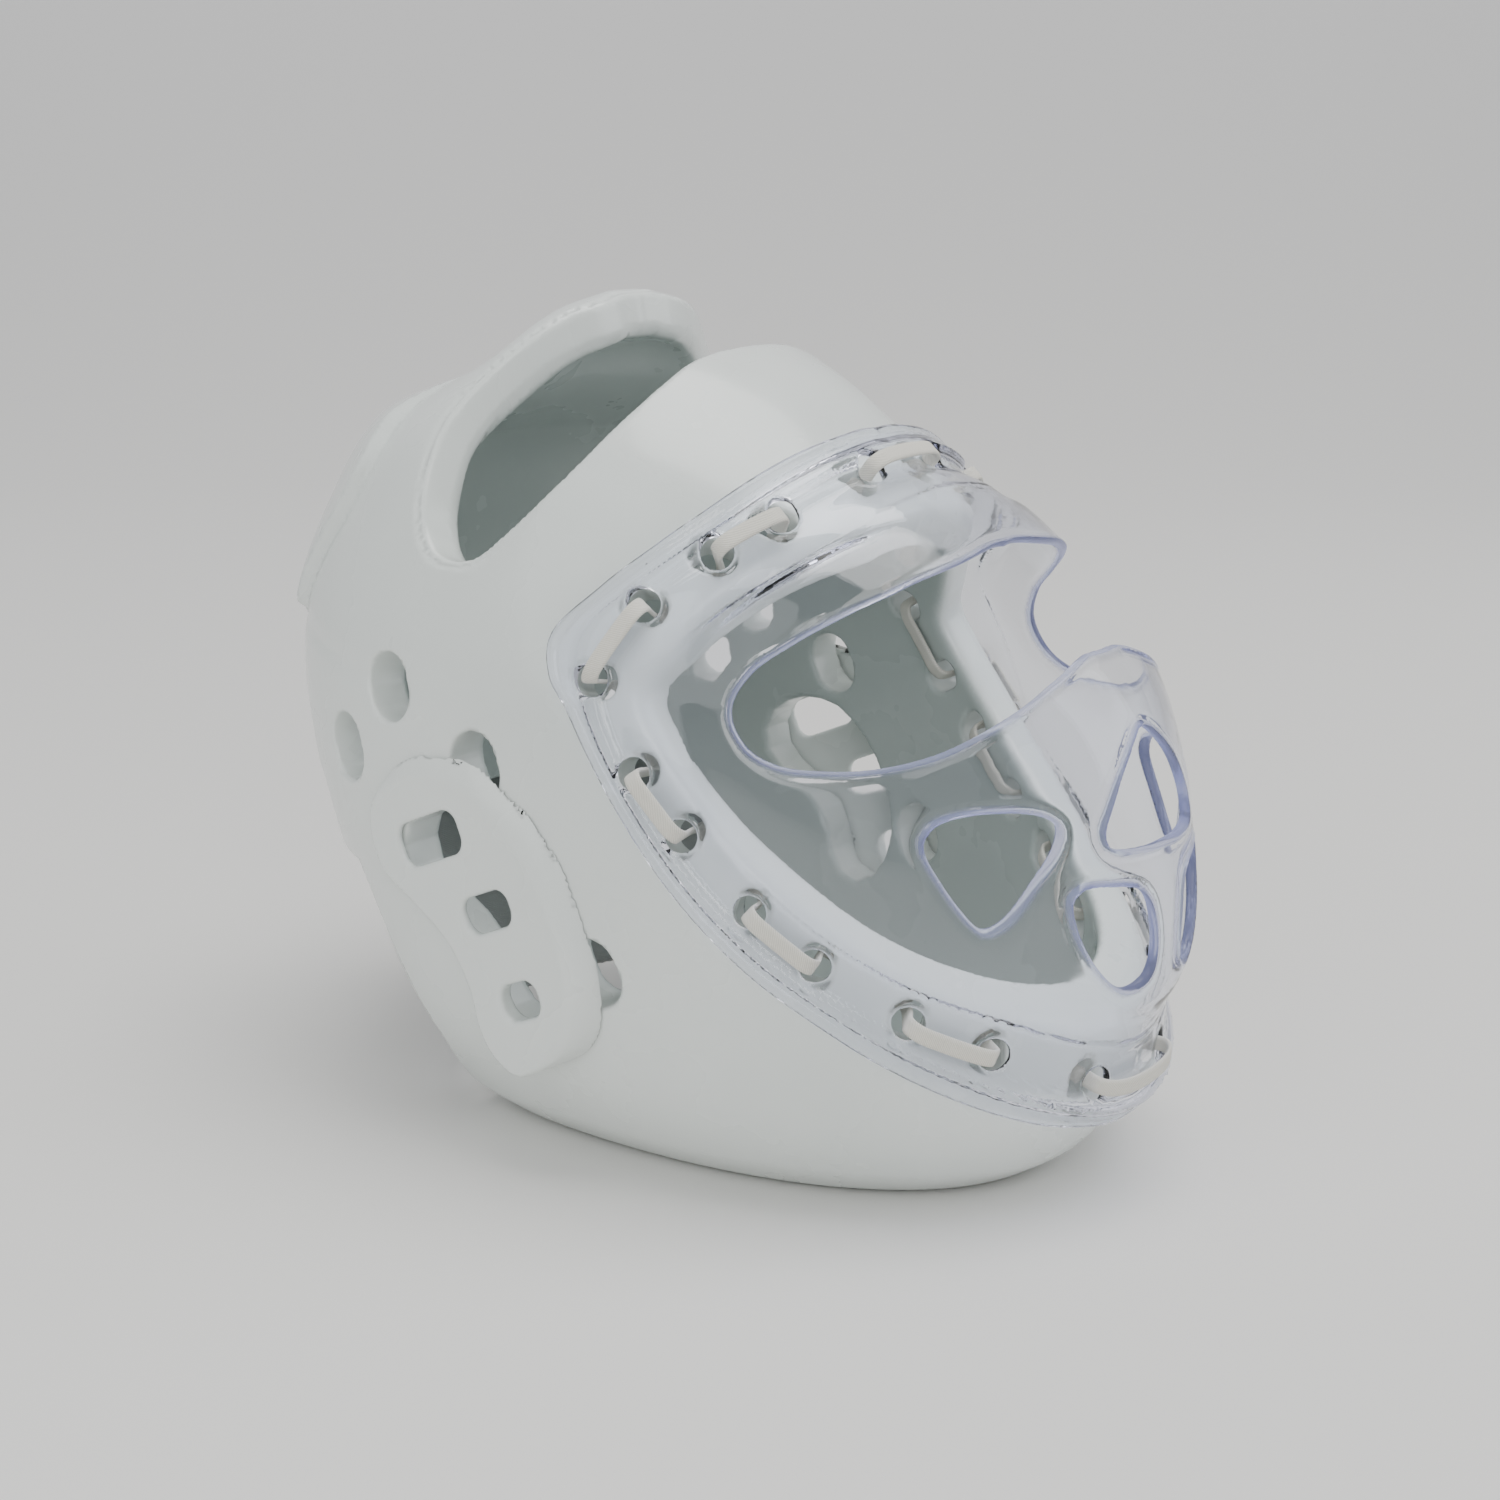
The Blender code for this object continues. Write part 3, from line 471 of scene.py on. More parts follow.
def clearMaterial():
    f = clearFinish
    material, nodes, links, shader = newMaterial("clearPlastic")
    place = nodes.new("ShaderNodeTexCoord").outputs["Object"]
    shader.inputs["Base Color"].default_value = (*f["colour"], 1)
    shader.inputs["Transmission Weight"].default_value = 1.0
    shader.inputs["IOR"].default_value = 1.49
    smear = noiseNode(nodes, links, place, 34, 5, 0.65)
    links.new(rampNode(nodes, links, smear, 0.56, 0.72, f["roughness"], f["frost"]), shader.inputs["Roughness"])
    ripple = noiseNode(nodes, links, place, 60, 3)
    links.new(bumpNode(nodes, links, ripple, 0.12, 0.0006), shader.inputs["Normal"])
    # the cut edges glow violet: some light scatters there, see the "inside" attribute
    cut = nodes.new("ShaderNodeAttribute")
    cut.attribute_name = "inside"
    glow = nodes.new("ShaderNodeBsdfTranslucent")
    glow.inputs["Color"].default_value = (*f["cutEdge"], 1)
    skin = nodes.new("ShaderNodeBsdfDiffuse")
    skin.inputs["Color"].default_value = (*f["cutEdge"], 1)
    both = nodes.new("ShaderNodeMixShader")
    links.new(glow.outputs[0], both.inputs[1])
    links.new(skin.outputs[0], both.inputs[2])
    edged = nodes.new("ShaderNodeMixShader")
    links.new(mathNode(nodes, links, "MULTIPLY", cut.outputs["Fac"], f["cutShare"]), edged.inputs[0])
    links.new(shader.outputs["BSDF"], edged.inputs[1])
    links.new(both.outputs[0], edged.inputs[2])
    # light reaches the foam behind the mask: shadow rays pass straight through
    path = nodes.new("ShaderNodeLightPath")
    through = nodes.new("ShaderNodeBsdfTransparent")
    through.inputs["Color"].default_value = (0.93, 0.94, 0.96, 1)
    mix = nodes.new("ShaderNodeMixShader")
    links.new(path.outputs["Is Shadow Ray"], mix.inputs[0])
    links.new(edged.outputs[0], mix.inputs[1])
    links.new(through.outputs["BSDF"], mix.inputs[2])
    absorb = nodes.new("ShaderNodeVolumeAbsorption")
    absorb.inputs["Color"].default_value = (*f["edge"], 1)
    absorb.inputs["Density"].default_value = f["density"]
    output = nodes["Material Output"]
    links.new(mix.outputs["Shader"], output.inputs["Surface"])
    links.new(absorb.outputs["Volume"], output.inputs["Volume"])
    return material


laceFinish = {"colour": (0.80, 0.78, 0.70), "shade": (0.62, 0.60, 0.53), "pitch": 0.0009}


def laceMaterial():
    f = laceFinish
    material, nodes, links, shader = newMaterial("wovenLace")
    place = nodes.new("ShaderNodeUVMap").outputs["UV"]
    wave = nodes.new("ShaderNodeTexWave")
    wave.wave_type = "BANDS"
    wave.bands_direction = "DIAGONAL"
    wave.inputs["Scale"].default_value = 0.8 / f["pitch"] * 0.001
    wave.inputs["Distortion"].default_value = 1.2
    links.new(place, wave.inputs["Vector"])
    weave = wave.outputs["Fac"]
    links.new(mixNode(nodes, links, weave, f["shade"], f["colour"]), shader.inputs["Base Color"])
    shader.inputs["Roughness"].default_value = 0.8
    shader.inputs["Sheen Weight"].default_value = 0.2
    links.new(bumpNode(nodes, links, weave, 0.5, 0.0002), shader.inputs["Normal"])
    return material


# the groove colour is painted shade, darkening the hollows between the ribs
bandFinish = {"colour": (0.72, 0.74, 0.72), "grooveShade": (0.26, 0.28, 0.27), "pitch": 3.2}


def bandMaterial():
    f = bandFinish
    material, nodes, links, shader = newMaterial("ribbedElastic")
    place = nodes.new("ShaderNodeUVMap").outputs["UV"]
    wave = nodes.new("ShaderNodeTexWave")
    wave.bands_direction = "X"
    wave.wave_profile = "SIN"
    wave.inputs["Scale"].default_value = math.pi / 10 / f["pitch"]
    wave.inputs["Distortion"].default_value = 0.15
    links.new(place, wave.inputs["Vector"])
    fine = nodes.new("ShaderNodeTexWave")
    fine.bands_direction = "Y"
    fine.inputs["Scale"].default_value = 0.55
    links.new(place, fine.inputs["Vector"])
    ribs = wave.outputs["Fac"]
    # darker in the grooves between the ribs: painted shade
    colour = mixNode(nodes, links, rampNode(nodes, links, ribs, 0.1, 0.55, 0, 1), f["grooveShade"], f["colour"])
    links.new(colour, shader.inputs["Base Color"])
    shader.inputs["Roughness"].default_value = 0.85
    shader.inputs["Sheen Weight"].default_value = 0.25
    first = bumpNode(nodes, links, ribs, 0.7, 0.0006)
    links.new(bumpNode(nodes, links, fine.outputs["Fac"], 0.3, 0.0002, first), shader.inputs["Normal"])
    return material


# foam shell

shell = {
    "wall": 15.0,
    "gridStep": 1.5,
    "mostTriangles": 190000,
    "faceRim": 6.0,       # rounding where the face opening is cut
    "crownRim": (2.4, 7.5),   # rounding of the crown opening, outside and inside
    "crownCrease": 0.7,
    "ventEdge": 1.4,
    "ventSize": (8.5, 2.0),   # radius and half the straight part
    "vents": ((140, 101.5), (118, 115), (93.5, 134.5), (122, 80.5), (67, 62)),   # height, turn from front
    "panelRaise": 4.0,
    "panelTop": (212, 228),
    "panelEdge": ((150, 158, 168, 185, 201, 212, 221, 235), (143, 139, 135.5, 129.5, 127, 129, 134, 150)),
    "notchTop": (78, 80),
    "notchKnee": (47, 28),
    "holeRadius": 5.0,
    "holeStretch": 2.0,
}

# ear pad face, front and back edge at each height
padEdge = {
    "height": (31.9, 36.4, 43.9, 54, 67, 77, 84, 93, 104, 112, 117.5),
    "front": (1, -6.7, -13.4, -17.3, -18.2, -15.4, -12.5, -7.7, 1, 10.6, 21),
    "back": (4.8, 12.5, 17.3, 20.2, 28.8, 43.2, 54.7, 59.5, 59.5, 51.8, 39.4),
}


def polygonDistance(u, v, corners):
    # signed distance to a polygon in its own plane, negative inside
    best = np.full(u.shape, 1e9)
    inside = np.zeros(u.shape, bool)
    for (ax, ay), (bx, by) in zip(corners, corners[1:] + corners[:1]):
        ex, ey = bx - ax, by - ay
        t = np.clip(((u - ax) * ex + (v - ay) * ey) / (ex * ex + ey * ey), 0, 1)
        best = np.minimum(best, (u - ax - t * ex) ** 2 + (v - ay - t * ey) ** 2)
        crosses = ((ay > v) != (by > v)) & (u < (bx - ax) * (v - ay) / (by - ay + 1e-12) + ax)
        inside ^= crosses
    return np.where(inside, -1, 1) * np.sqrt(best)


def smoothLoop(points, count):
    # closed smooth loop through a few points
    points = np.array(points, float)
    wrapped = np.vstack([points[-2:], points, points[:3]])
    length = np.concatenate([[0], np.cumsum(np.linalg.norm(np.diff(wrapped, axis=0), axis=1))])
    at = np.linspace(length[2], length[2 + len(points)], count, endpoint=False)
    return np.stack([smoothCurve(length, wrapped[:, k], at) for k in range(2)], 1)


padFront = list(zip(padEdge["front"], padEdge["height"]))
padBack = list(zip(padEdge["back"], padEdge["height"]))[::-1]
padLoop = smoothLoop(padFront + padBack, 72)
padMiddle = padLoop.mean(0)
earLoop = [tuple(p) for p in padMiddle + (padLoop[::3] - padMiddle) * 0.72]

faceOutline = face.outline(faceClocks, foamEdge)
crownOutline = crown.outline(crownClocks, crownEdge)
ventPlaces = []
for height, turn in shell["vents"]:
    t = math.radians(turn)
    levels, columns = shellTable
    front, back, half, centre, frontSquare, backSquare = [np.interp(height, levels, c) for c in columns]
    reach, square = (centre - front, frontSquare) if math.cos(t) > 0 else (back - centre, backSquare)
    r = ((abs(math.cos(t)) / reach) ** square + (math.sin(t) / half) ** square) ** (-1 / square)
    p = np.array([r * math.sin(t), centre - r * math.cos(t), height])
    ventPlaces.append((p, shellNormal(p[None])[0]))


def shellField(points):
    p = points.copy()
    p[:, 0] = np.abs(p[:, 0])
    x, y, z = p.T
    clock, spread, away = middle.readings(p)
    lean = middle.lookUp(shellLean, clock, spread)
    deep = (away - middle.lookUp(shellFromMiddle, clock, spread)) * lean
    # raised pad over the back of the head, and the soft crease that runs on below it
    turn = np.degrees(np.arctan2(x, np.interp(z, *[shellTable[0], shellTable[1][3]]) - y))
    edge = smoothCurve(*shell["panelEdge"], z)
    ahead = (turn - edge) * 1.7
    raised = ease(ahead, -1.5, 2.5) * ease(z, 149, 153.5) * (1 - ease(z, *shell["panelTop"]))
    f = deep - shell["panelRaise"] * raised
    crease = bump(z - 139 - 0.17 * (y - 50), 0, 3.2) * ease(y, 40, 60)
    f = f + 0.5 * crease
    f = softMax(f, -shell["wall"] - deep, 2.0)
    # face opening
    clock, spread, away = face.readings(p)
    opening = face.lookUp(faceOutline, clock, spread) * away * 0.01745
    f = softMax(f, -opening, shell["faceRim"])
    # crown opening
    clock, spread, away = crown.readings(p)
    opening = crown.lookUp(crownOutline, clock, spread) * away * 0.01745
    opening = np.where(z > 130, opening, 50)
    outer, inner = shell["crownRim"]
    f = f + shell["crownCrease"] * bump(opening, 2.0, 0.9) * ease(clock, 84, 96) * ease(deep, -4, -1)
    f = softMax(f, -opening, outer + (inner - outer) * ease(-deep, 4, 11))
    # ear openings behind the pads
    near = x > 60
    ear = np.full(len(x), 50.0)
    ear[near] = polygonDistance(y[near], z[near], earLoop)
    f = softMax(f, -ear, 2.0)
    # nape notch
    (topY, topZ), (kneeY, kneeZ) = shell["notchTop"], shell["notchKnee"]
    slant = np.maximum(z - kneeZ, 0) * (topY - kneeY) / (topZ - kneeZ)
    notch = np.maximum(kneeY + slant - y, z - topZ)
    notch = np.where(z > kneeZ, notch * 0.86, notch)
    f = softMax(f, -notch, 1.6)
    # round vents and lace holes
    for centre, normal in ventPlaces:
        near = np.abs(p - centre).max(-1) < 26
        if near.any():
            radius, half = shell["ventSize"]
            hole = capsule(p[near], centre, normal, face.up, half, radius)
            f[near] = softMax(f[near], -hole, shell["ventEdge"])
    for centre, normal in holePlaces:
        near = np.abs(p - centre).max(-1) < 26
        if near.any():
            outwards = centre - face.centre
            outwards = outwards - face.axis * np.dot(outwards, face.axis)
            shifted = centre + unit(outwards) * shell["holeStretch"]
            hole = capsule(p[near], shifted, normal, outwards, shell["holeStretch"], shell["holeRadius"])
            f[near] = softMax(f[near], -hole, 1.6)
    return softMax(f, -z, 2.5)


def shellInside(points):
    # 1 on the inner face, which takes the grey lining colour with painted shade, 0 on the outside and on the cut
    # edges
    clock, spread, away = middle.readings(points)
    deep = (middle.lookUp(shellFromMiddle, clock, spread) - away) * middle.lookUp(shellLean, clock, spread)
    return ease(deep, shell["wall"] - 2.2, shell["wall"] - 0.5)


foam = foamMaterial()
points, faces = surfaceNet(shellField, (-102, -147, -3), (102, 156, 258), shell["gridStep"])
report("foam surface has %d faces" % len(faces))
shellPiece = makePiece("dippedShell", points, faces, foam, shell["mostTriangles"], shellField, shellInside)
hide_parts("shell")
report("foam shell done")


# ear pads

pad = {
    "face": 98.3,
    "shoulder": 1.3,       # rounding where face and rim meet
    "flare": (9.0, 7.0),   # how far the rim slopes out in front, and how much more near the top
    "gridStep": 0.9,
    "mostTriangles": 40000,
    "slots": ((98, 35, 25.4, 13), (80, 12.5, 19.2, 11), (55.5, 0, 15, 11)),   # height, place, length, width
    "slotCorner": 4.6,
}
padCorners = [tuple(p) for p in padLoop]
slotTilt = math.radians(24)


def padField(points, seated=True):
    p = points.copy()
    p[:, 0] = np.abs(p[:, 0])
    x, y, z = p.T
    clock, spread, away = middle.readings(p)
    lean = middle.lookUp(shellLean, clock, spread)
    deep = (away - middle.lookUp(shellFromMiddle, clock, spread)) * lean
    side = polygonDistance(y, z, padCorners)
    # the rim slopes out in front and stands nearly square behind
    facing = ease(-(y - padMiddle[0]) * 0.9 + (z - padMiddle[1]) * 0.8, -20, 18)
    drop = np.maximum(pad["face"] - x, 0)
    flare = pad["flare"][0] + pad["flare"][1] * ease(z - padMiddle[1], -5, 32)
    slope = 0.6 + flare * facing * (1 - np.exp(-drop / 6.5)) - 0.6 * (1 - ease(drop, 0, 2))
    f = softMax(side - slope, x - pad["face"], pad["shoulder"])
    seat = 0.25 - deep
    if not seated:
        seat = np.where(side - slope > -2.5, -50, seat)
    f = softMax(f, seat, 0.5)
    for height, place, length, width in pad["slots"]:
        along = (y - place) * -math.cos(slotTilt) + (z - height) * math.sin(slotTilt)
        up = (y - place) * math.sin(slotTilt) + (z - height) * math.cos(slotTilt)
        r = pad["slotCorner"]
        du = np.abs(along) - length / 2 + r
        dv = np.abs(up) - width / 2 + r
        slotDistance = np.hypot(np.maximum(du, 0), np.maximum(dv, 0)) + np.minimum(np.maximum(du, dv), 0) - r
        f = softMax(f, -slotDistance, 1.8)
    return f


for side, name in ((-1, "right"), (1, "left")):
    low, high = ((78, -42, 18), (102, 70, 134))
    if side < 0:
        low, high = (-102, -42, 18), (-78, 70, 134)
    points, faces = surfaceNet(padField, low, high, pad["gridStep"])
    padPiece = makePiece("earPad" + name.title(), points, faces, foam, pad["mostTriangles"], padField,
                         shadingField=lambda p: padField(p, False))
    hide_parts("ear_pad_" + name)
report("ear pads done")


# clear mask

mask = {
    "gap": 1.3,
    "wall": 2.8,
    "gridStep": 0.95,
    "mostTriangles": 195000,
    "holeRadius": 4.6,
    # from the rim (2) over the edge of the bulge (1) to the middle (0)
    "place": (0, 0.80, 0.90, 0.96, 1.02, 1.06, 1.3, 1.5, 1.58, 1.64, 1.72, 1.8, 1.86, 1.93, 2.0),
    "bulge": (1, 1, 0.9, 0.5, 0.08, 0, 0, 0, 0, 0, 0, 0, 0, 0, 0),
    "topBulge": (1, 1, 1, 1, 0.98, 0.97, 0.6, 0.1, 0, 0, 0, 0, 0, 0, 0),   # the same over the forehead
    "lift": (1, 1, 1, 1, 1, 1, 1, 1, 1.2, 1.9, 2.0, 1.6, 1, 1, 1),
    "thick": (1, 1, 1, 1, 1, 1, 0.95, 0.95, 0.95, 0.95, 0.95, 1.05, 1.4, 1.5, 1.4),
    # vents as loops of clock and spread, the nose vent by its right half
    "cheekVent": ((125.4, 46), (123.6, 43), (125.5, 39.2), (131, 35.1), (138.6, 32.2), (144.4, 32), (146, 35),
                  (145.2, 40.5), (144.4, 46), (142.6, 48.8), (139.6, 48.9), (132.4, 47.7)),
    "chinVent": ((154.4, 40), (156, 38), (161.2, 36.8), (169.6, 36.5), (173.2, 38.4), (175.2, 43.7),
                 (174.4, 46.8), (169.8, 48.4), (164.3, 46.9), (158.4, 43.8)),
    "noseVent": ((180, 16.2), (171.5, 17.8), (162.3, 22.6), (158.8, 27.4), (158, 30.4), (160.6, 32),
                 (172, 31.4), (180, 31.1)),
    "lip": 0.35,          # how much the plastic thickens round each opening
}

maskFromFace = radialTable(maskTable, face.centre, face.grid)


def maskTables():
    edge = smoothCurve(faceClocks, bulgeEdge, face.clocks)[:, None]
    rim = smoothCurve(faceClocks, maskRim, face.clocks)[:, None]
    spread = face.spreads[None, :]
    place = np.where(spread < edge, spread / edge, 1 + (spread - edge) / (rim - edge))
    overTop = 1 - ease(face.clocks, 26, 60)[:, None]
    bulge = smoothCurve(mask["place"], mask["bulge"], place) * (1 - overTop)
    bulge = bulge + smoothCurve(mask["place"], mask["topBulge"], place) * overTop
    lift = smoothCurve(mask["place"], mask["lift"], place) * mask["gap"]
    lift = lift * smoothCurve(faceClocks, standoff, face.clocks)[:, None]
    thick = smoothCurve(mask["place"], mask["thick"], place) * mask["wall"]
    lean = np.maximum(face.lean(shellFromFace), 0.5)
    resting = shellFromFace + lift / lean
    under = resting + (np.maximum(maskFromFace - 3, resting) - resting) * np.clip(bulge, 0, 1)
    return under, thick, face.lean(under)


maskUnder, maskThick, maskLean = maskTables()
rimOutline = face.outline(faceClocks, maskRim)
eyeOutline = face.outline(eyeClocks, eyeEdge)


def ventShape(loop):
    # the loop laid flat round the vent's middle
    loop = np.array(loop, float)
    corners = face.direction(loop[:, 0], loop[:, 1])
    axis = unit(corners.mean(0))
    right = unit(np.cross(face.up, axis))
    up = np.cross(axis, right)
    along = np.degrees(np.arccos(np.clip(axis @ face.axis, -1, 1)))
    clock = np.degrees(np.arctan2(abs(axis[0]), axis @ face.up))
    radius = float(face.lookUp(maskFromFace, np.array(clock), np.array(along)))
    flat = [(float(c @ right / (c @ axis)) * radius, float(c @ up / (c @ axis)) * radius) for c in corners]
    return axis, right, up, radius, [tuple(q) for q in smoothLoop(flat, 60)]


noseLoop = mask["noseVent"] + tuple((360 - clock, spread) for clock, spread in mask["noseVent"][-2:0:-1])
maskVents = [ventShape(loop) for loop in (mask["cheekVent"], mask["chinVent"], noseLoop)]


def maskOpening(p, clock, spread, away):
    # distance outside the eye opening and the vents
    opening = face.lookUp(eyeOutline, clock, spread) * away * 0.01745
    v = p - face.centre
    for axis, right, up, radius, corners in maskVents:
        ahead = v @ axis
        near = ahead > away * 0.85
        if near.any():
            u = v[near] @ right / ahead[near] * radius
            w = v[near] @ up / ahead[near] * radius
            opening[near] = np.minimum(opening[near], polygonDistance(u, w, corners))
    return opening


def maskCut(points):
    # 1 on the cut edges, where the plastic is seen endways
    p = points.copy()
    p[:, 0] = np.abs(p[:, 0])
    return 1 - ease(maskOpening(p, *face.readings(p)), 0.7, 1.9)


def maskField(points):
    p = points.copy()
    p[:, 0] = np.abs(p[:, 0])
    clock, spread, away = face.readings(p)
    under = face.lookUp(maskUnder, clock, spread)
    lean = face.lookUp(maskLean, clock, spread)
    thick = face.lookUp(maskThick, clock, spread)
    opening = maskOpening(p, clock, spread, away)
    lip = mask["lip"] * bump(np.maximum(opening, 0), 0.8, 2.0)
    height = (away - under) * lean
    f = np.maximum(-height - lip * 0.6, height - thick - lip)
    f = softMax(f, face.lookUp(rimOutline, clock, spread) * away * 0.01745, 3.2)
    f = softMax(f, -opening, 1.9)
    for centre, normal in holePlaces:
        near = np.abs(p - centre).max(-1) < 14
        if near.any():
            hole = capsule(p[near], centre, normal, face.up, 0.01, mask["holeRadius"])
            f[near] = softMax(f[near], -hole, 1.4)
    return f


clear = clearMaterial()
points, faces = surfaceNet(maskField, (-101, -163, 14), (101, 4, 222), mask["gridStep"])
report("mask surface has %d faces" % len(faces))
maskPiece = makePiece("clearMask", points, faces, clear, mask["mostTriangles"], maskField, maskCut)
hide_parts("mask")
report("mask done")


# flat lace

lace = {"width": 5.0, "thick": 1.2, "above": 4.4, "below": 16.4, "bend": 2.2, "steps": 10}


def laceRoute():
    flip = (-1, 1, 1)
    stands = [float(smoothCurve(faceClocks, standoff, clock)) * mask["gap"] * 1.8 for clock, spread in laceHoles]
    near = [(p, n, stand) for (p, n), stand in zip(holePlaces, stands)]
    places = near + [(p * flip, n * flip, stand) for p, n, stand in reversed(near)]
    count = len(places)
    route = []
    for i, (p, n, stand) in enumerate(places):
        q, m = places[(i + 1) % count][:2]
        above = lace["above"] + stand
        first, second = (-lace["below"], above) if i % 2 else (above, -lace["below"])
        run = q - places[i - 1][0]
        bend = lace["bend"]
        sign = 1 if second > 0 else -1
        route.append((p + n * (first + bend * sign), n, run))
        route.append((p, n, run))
        route.append((p + n * (second - bend * sign), n, run))
        for share in (0.12, 0.35, 0.65, 0.88):
            d = unit(p + (q - p) * share - face.centre)
            clock = np.degrees(np.arctan2(abs(d[0]), d @ face.up))
            spread = np.degrees(np.arccos(np.clip(d @ face.axis, -1, 1)))
            onFoam = face.centre + d * float(face.lookUp(shellFromFace, np.array(clock), np.array(spread)))
            flat = unit(n * (1 - share) + m * share)
            sag = 0.5 * sign * math.sin(math.pi * share)
            route.append((onFoam + flat * (second + sag), flat, q - p))
    return route


def laceMesh():
    route = laceRoute()
    places = np.array([r[0] for r in route])
    count = len(places)
    wrapped = np.vstack([places[-3:], places, places[:4]])
    length = np.concatenate([[0], np.cumsum(np.linalg.norm(np.diff(wrapped, axis=0), axis=1))])
    stations = count * lace["steps"] // 2
    at = np.linspace(length[3], length[3 + count], stations, endpoint=False)
    line = np.stack([smoothCurve(length, wrapped[:, k], at) for k in range(3)], 1)
    acrossAll = []
    for i, (p, flat, run) in enumerate(route):
        acrossAll.append(unit(np.cross(flat, run)))
    acrossWrapped = np.vstack([acrossAll[-3:], acrossAll, acrossAll[:4]])
    across = np.stack([smoothCurve(length, acrossWrapped[:, k], at) for k in range(3)], 1)
    ahead = np.roll(line, -1, 0) - np.roll(line, 1, 0)
    ahead /= np.linalg.norm(ahead, axis=1, keepdims=True)
    across -= ahead * (across * ahead).sum(1, keepdims=True)
    across /= np.linalg.norm(across, axis=1, keepdims=True)
    over = np.cross(across, ahead)
    w, t = lace["width"] / 2, lace["thick"] / 2
    outline = [(-w, 0), (-w * 0.93, t * 0.75), (-w * 0.5, t), (0, t * 0.9), (w * 0.5, t), (w * 0.93, t * 0.75),
               (w, 0), (w * 0.93, -t * 0.75), (w * 0.5, -t), (0, -t * 0.9), (-w * 0.5, -t), (-w * 0.93, -t * 0.75)]
    points = np.stack([line + across * a + over * b for a, b in outline], 1)
    n = len(outline)
    i, j = np.meshgrid(np.arange(stations), np.arange(n), indexing="ij")
    ip, jp = (i + 1) % stations, (j + 1) % n
    faces = np.stack([i * n + j, i * n + jp, ip * n + jp, ip * n + j], -1).reshape(-1, 4)
    return points.reshape(-1, 3), faces, at, outline, stations


points, faces, lengths, outline, stations = laceMesh()
lacePiece = makePiece("flatLace", points, faces, laceMaterial())
layer = lacePiece.data.uv_layers.new(name="along")
for polygon in lacePiece.data.polygons:
    for loop in polygon.loop_indices:
        vertex = lacePiece.data.loops[loop].vertex_index
        layer.data[loop].uv = (lengths[vertex // len(outline)], outline[vertex % len(outline)][0])
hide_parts("lace")
report("lace done")


# ribbed elastic band

band = {"thick": 1.6, "inset": 5.0, "low": 8.0, "high": 78.2, "tuck": 9.0, "rib": 0.3}


def bandMesh():
    levels = np.linspace(band["low"], band["high"], 24)
    columns = 640
    rows, uv = [], []
    lv, cs = shellTable
    for z in levels:
        back, half, centre, bs = [np.interp(z, lv, cs[k]) for k in (1, 2, 3, 5)]
        edgeY = shell["notchKnee"][0] + max(z - shell["notchKnee"][1], 0) * 31 / 52 - band["tuck"]
        turns = np.linspace(math.pi / 2, math.pi, 400)
        r = ((np.abs(np.cos(turns)) / (back - centre)) ** bs + (np.sin(turns) / half) ** bs) ** (-1 / bs)
        start = turns[np.searchsorted(centre - r * np.cos(turns), edgeY)]
        t = start + (2 * math.pi - 2 * start) * np.linspace(0, 1, columns)
        r = ((np.abs(np.cos(t)) / (back - centre)) ** bs + (np.abs(np.sin(t)) / half) ** bs) ** (-1 / bs)
        p = np.stack([r * np.sin(t), centre - r * np.cos(t), np.full(columns, z)], 1)
        n = shellNormal(p)
        p = p - n * band["inset"]
        run = np.concatenate([[0], np.cumsum(np.linalg.norm(np.diff(p, axis=0), axis=1))])
        rows.append((p, n, run))
        uv.append(run)
    ribs = [np.sin(run * 2 * math.pi / bandFinish["pitch"])[:, None] * band["rib"] for p, n, run in rows]
    outer = np.stack([p + n * (band["thick"] / 2 + rib) for (p, n, run), rib in zip(rows, ribs)])
    inner = np.stack([p - n * band["thick"] / 2 for p, n, run in rows])
    return outer, inner, np.stack(uv), levels


outer, inner, runs, levels = bandMesh()
rowCount, columnCount = outer.shape[:2]
i, j = np.meshgrid(np.arange(rowCount - 1), np.arange(columnCount - 1), indexing="ij")
corner = i * columnCount + j
quads = np.stack([corner, corner + columnCount, corner + columnCount + 1, corner + 1], -1).reshape(-1, 4)
total = rowCount * columnCount
edgeLoop = ([(0, k) for k in range(columnCount)]
            + [(k, columnCount - 1) for k in range(1, rowCount)]
            + [(rowCount - 1, k) for k in range(columnCount - 2, -1, -1)]
            + [(k, 0) for k in range(rowCount - 2, 0, -1)])
edgeIndex = np.array([a * columnCount + b for a, b in edgeLoop])
walls = np.stack([edgeIndex, np.roll(edgeIndex, -1), np.roll(edgeIndex, -1) + total, edgeIndex + total], 1)
points = np.concatenate([outer.reshape(-1, 3), inner.reshape(-1, 3)])
bandPiece = makePiece("ribbedBand", points, np.concatenate([quads[:, ::-1], quads + total, walls]), bandMaterial())
layer = bandPiece.data.uv_layers.new(name="along")
flatRuns = np.concatenate([runs.ravel(), np.zeros(runs.size)])   # ribs on the outside only
flatLevels = np.concatenate([np.repeat(levels, columnCount)] * 2)
for polygon in bandPiece.data.polygons:
    for loop in polygon.loop_indices:
        vertex = bandPiece.data.loops[loop].vertex_index
        layer.data[loop].uv = (flatRuns[vertex], flatLevels[vertex])
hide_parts("back_band")
bandLength = float(np.mean(runs[:, -1])) * 0.001
heights = np.linalg.norm(np.diff((outer + inner) / 2, axis=0), axis=2).sum(0)
bandHeight = float(np.mean(heights)) * 0.001
report("band done, %.1f by %.1f mm" % (bandHeight * 1000, bandLength * 1000))


# floor, light and camera

studio = {
    "floor": (0.80, 0.79, 0.765),
    "backdrop": (0.93, 0.92, 0.925),
    "world": (0.80, 0.82, 0.86),
    "worldStrength": 0.62,
    "glow": 0.20,         # the backdrop's own light, as if it were lit apart
    "camera": (-0.5408, -0.4272, 0.2953),
    "target": (0.0042, -0.0014, 0.110),
    "lens": 54.48,
}


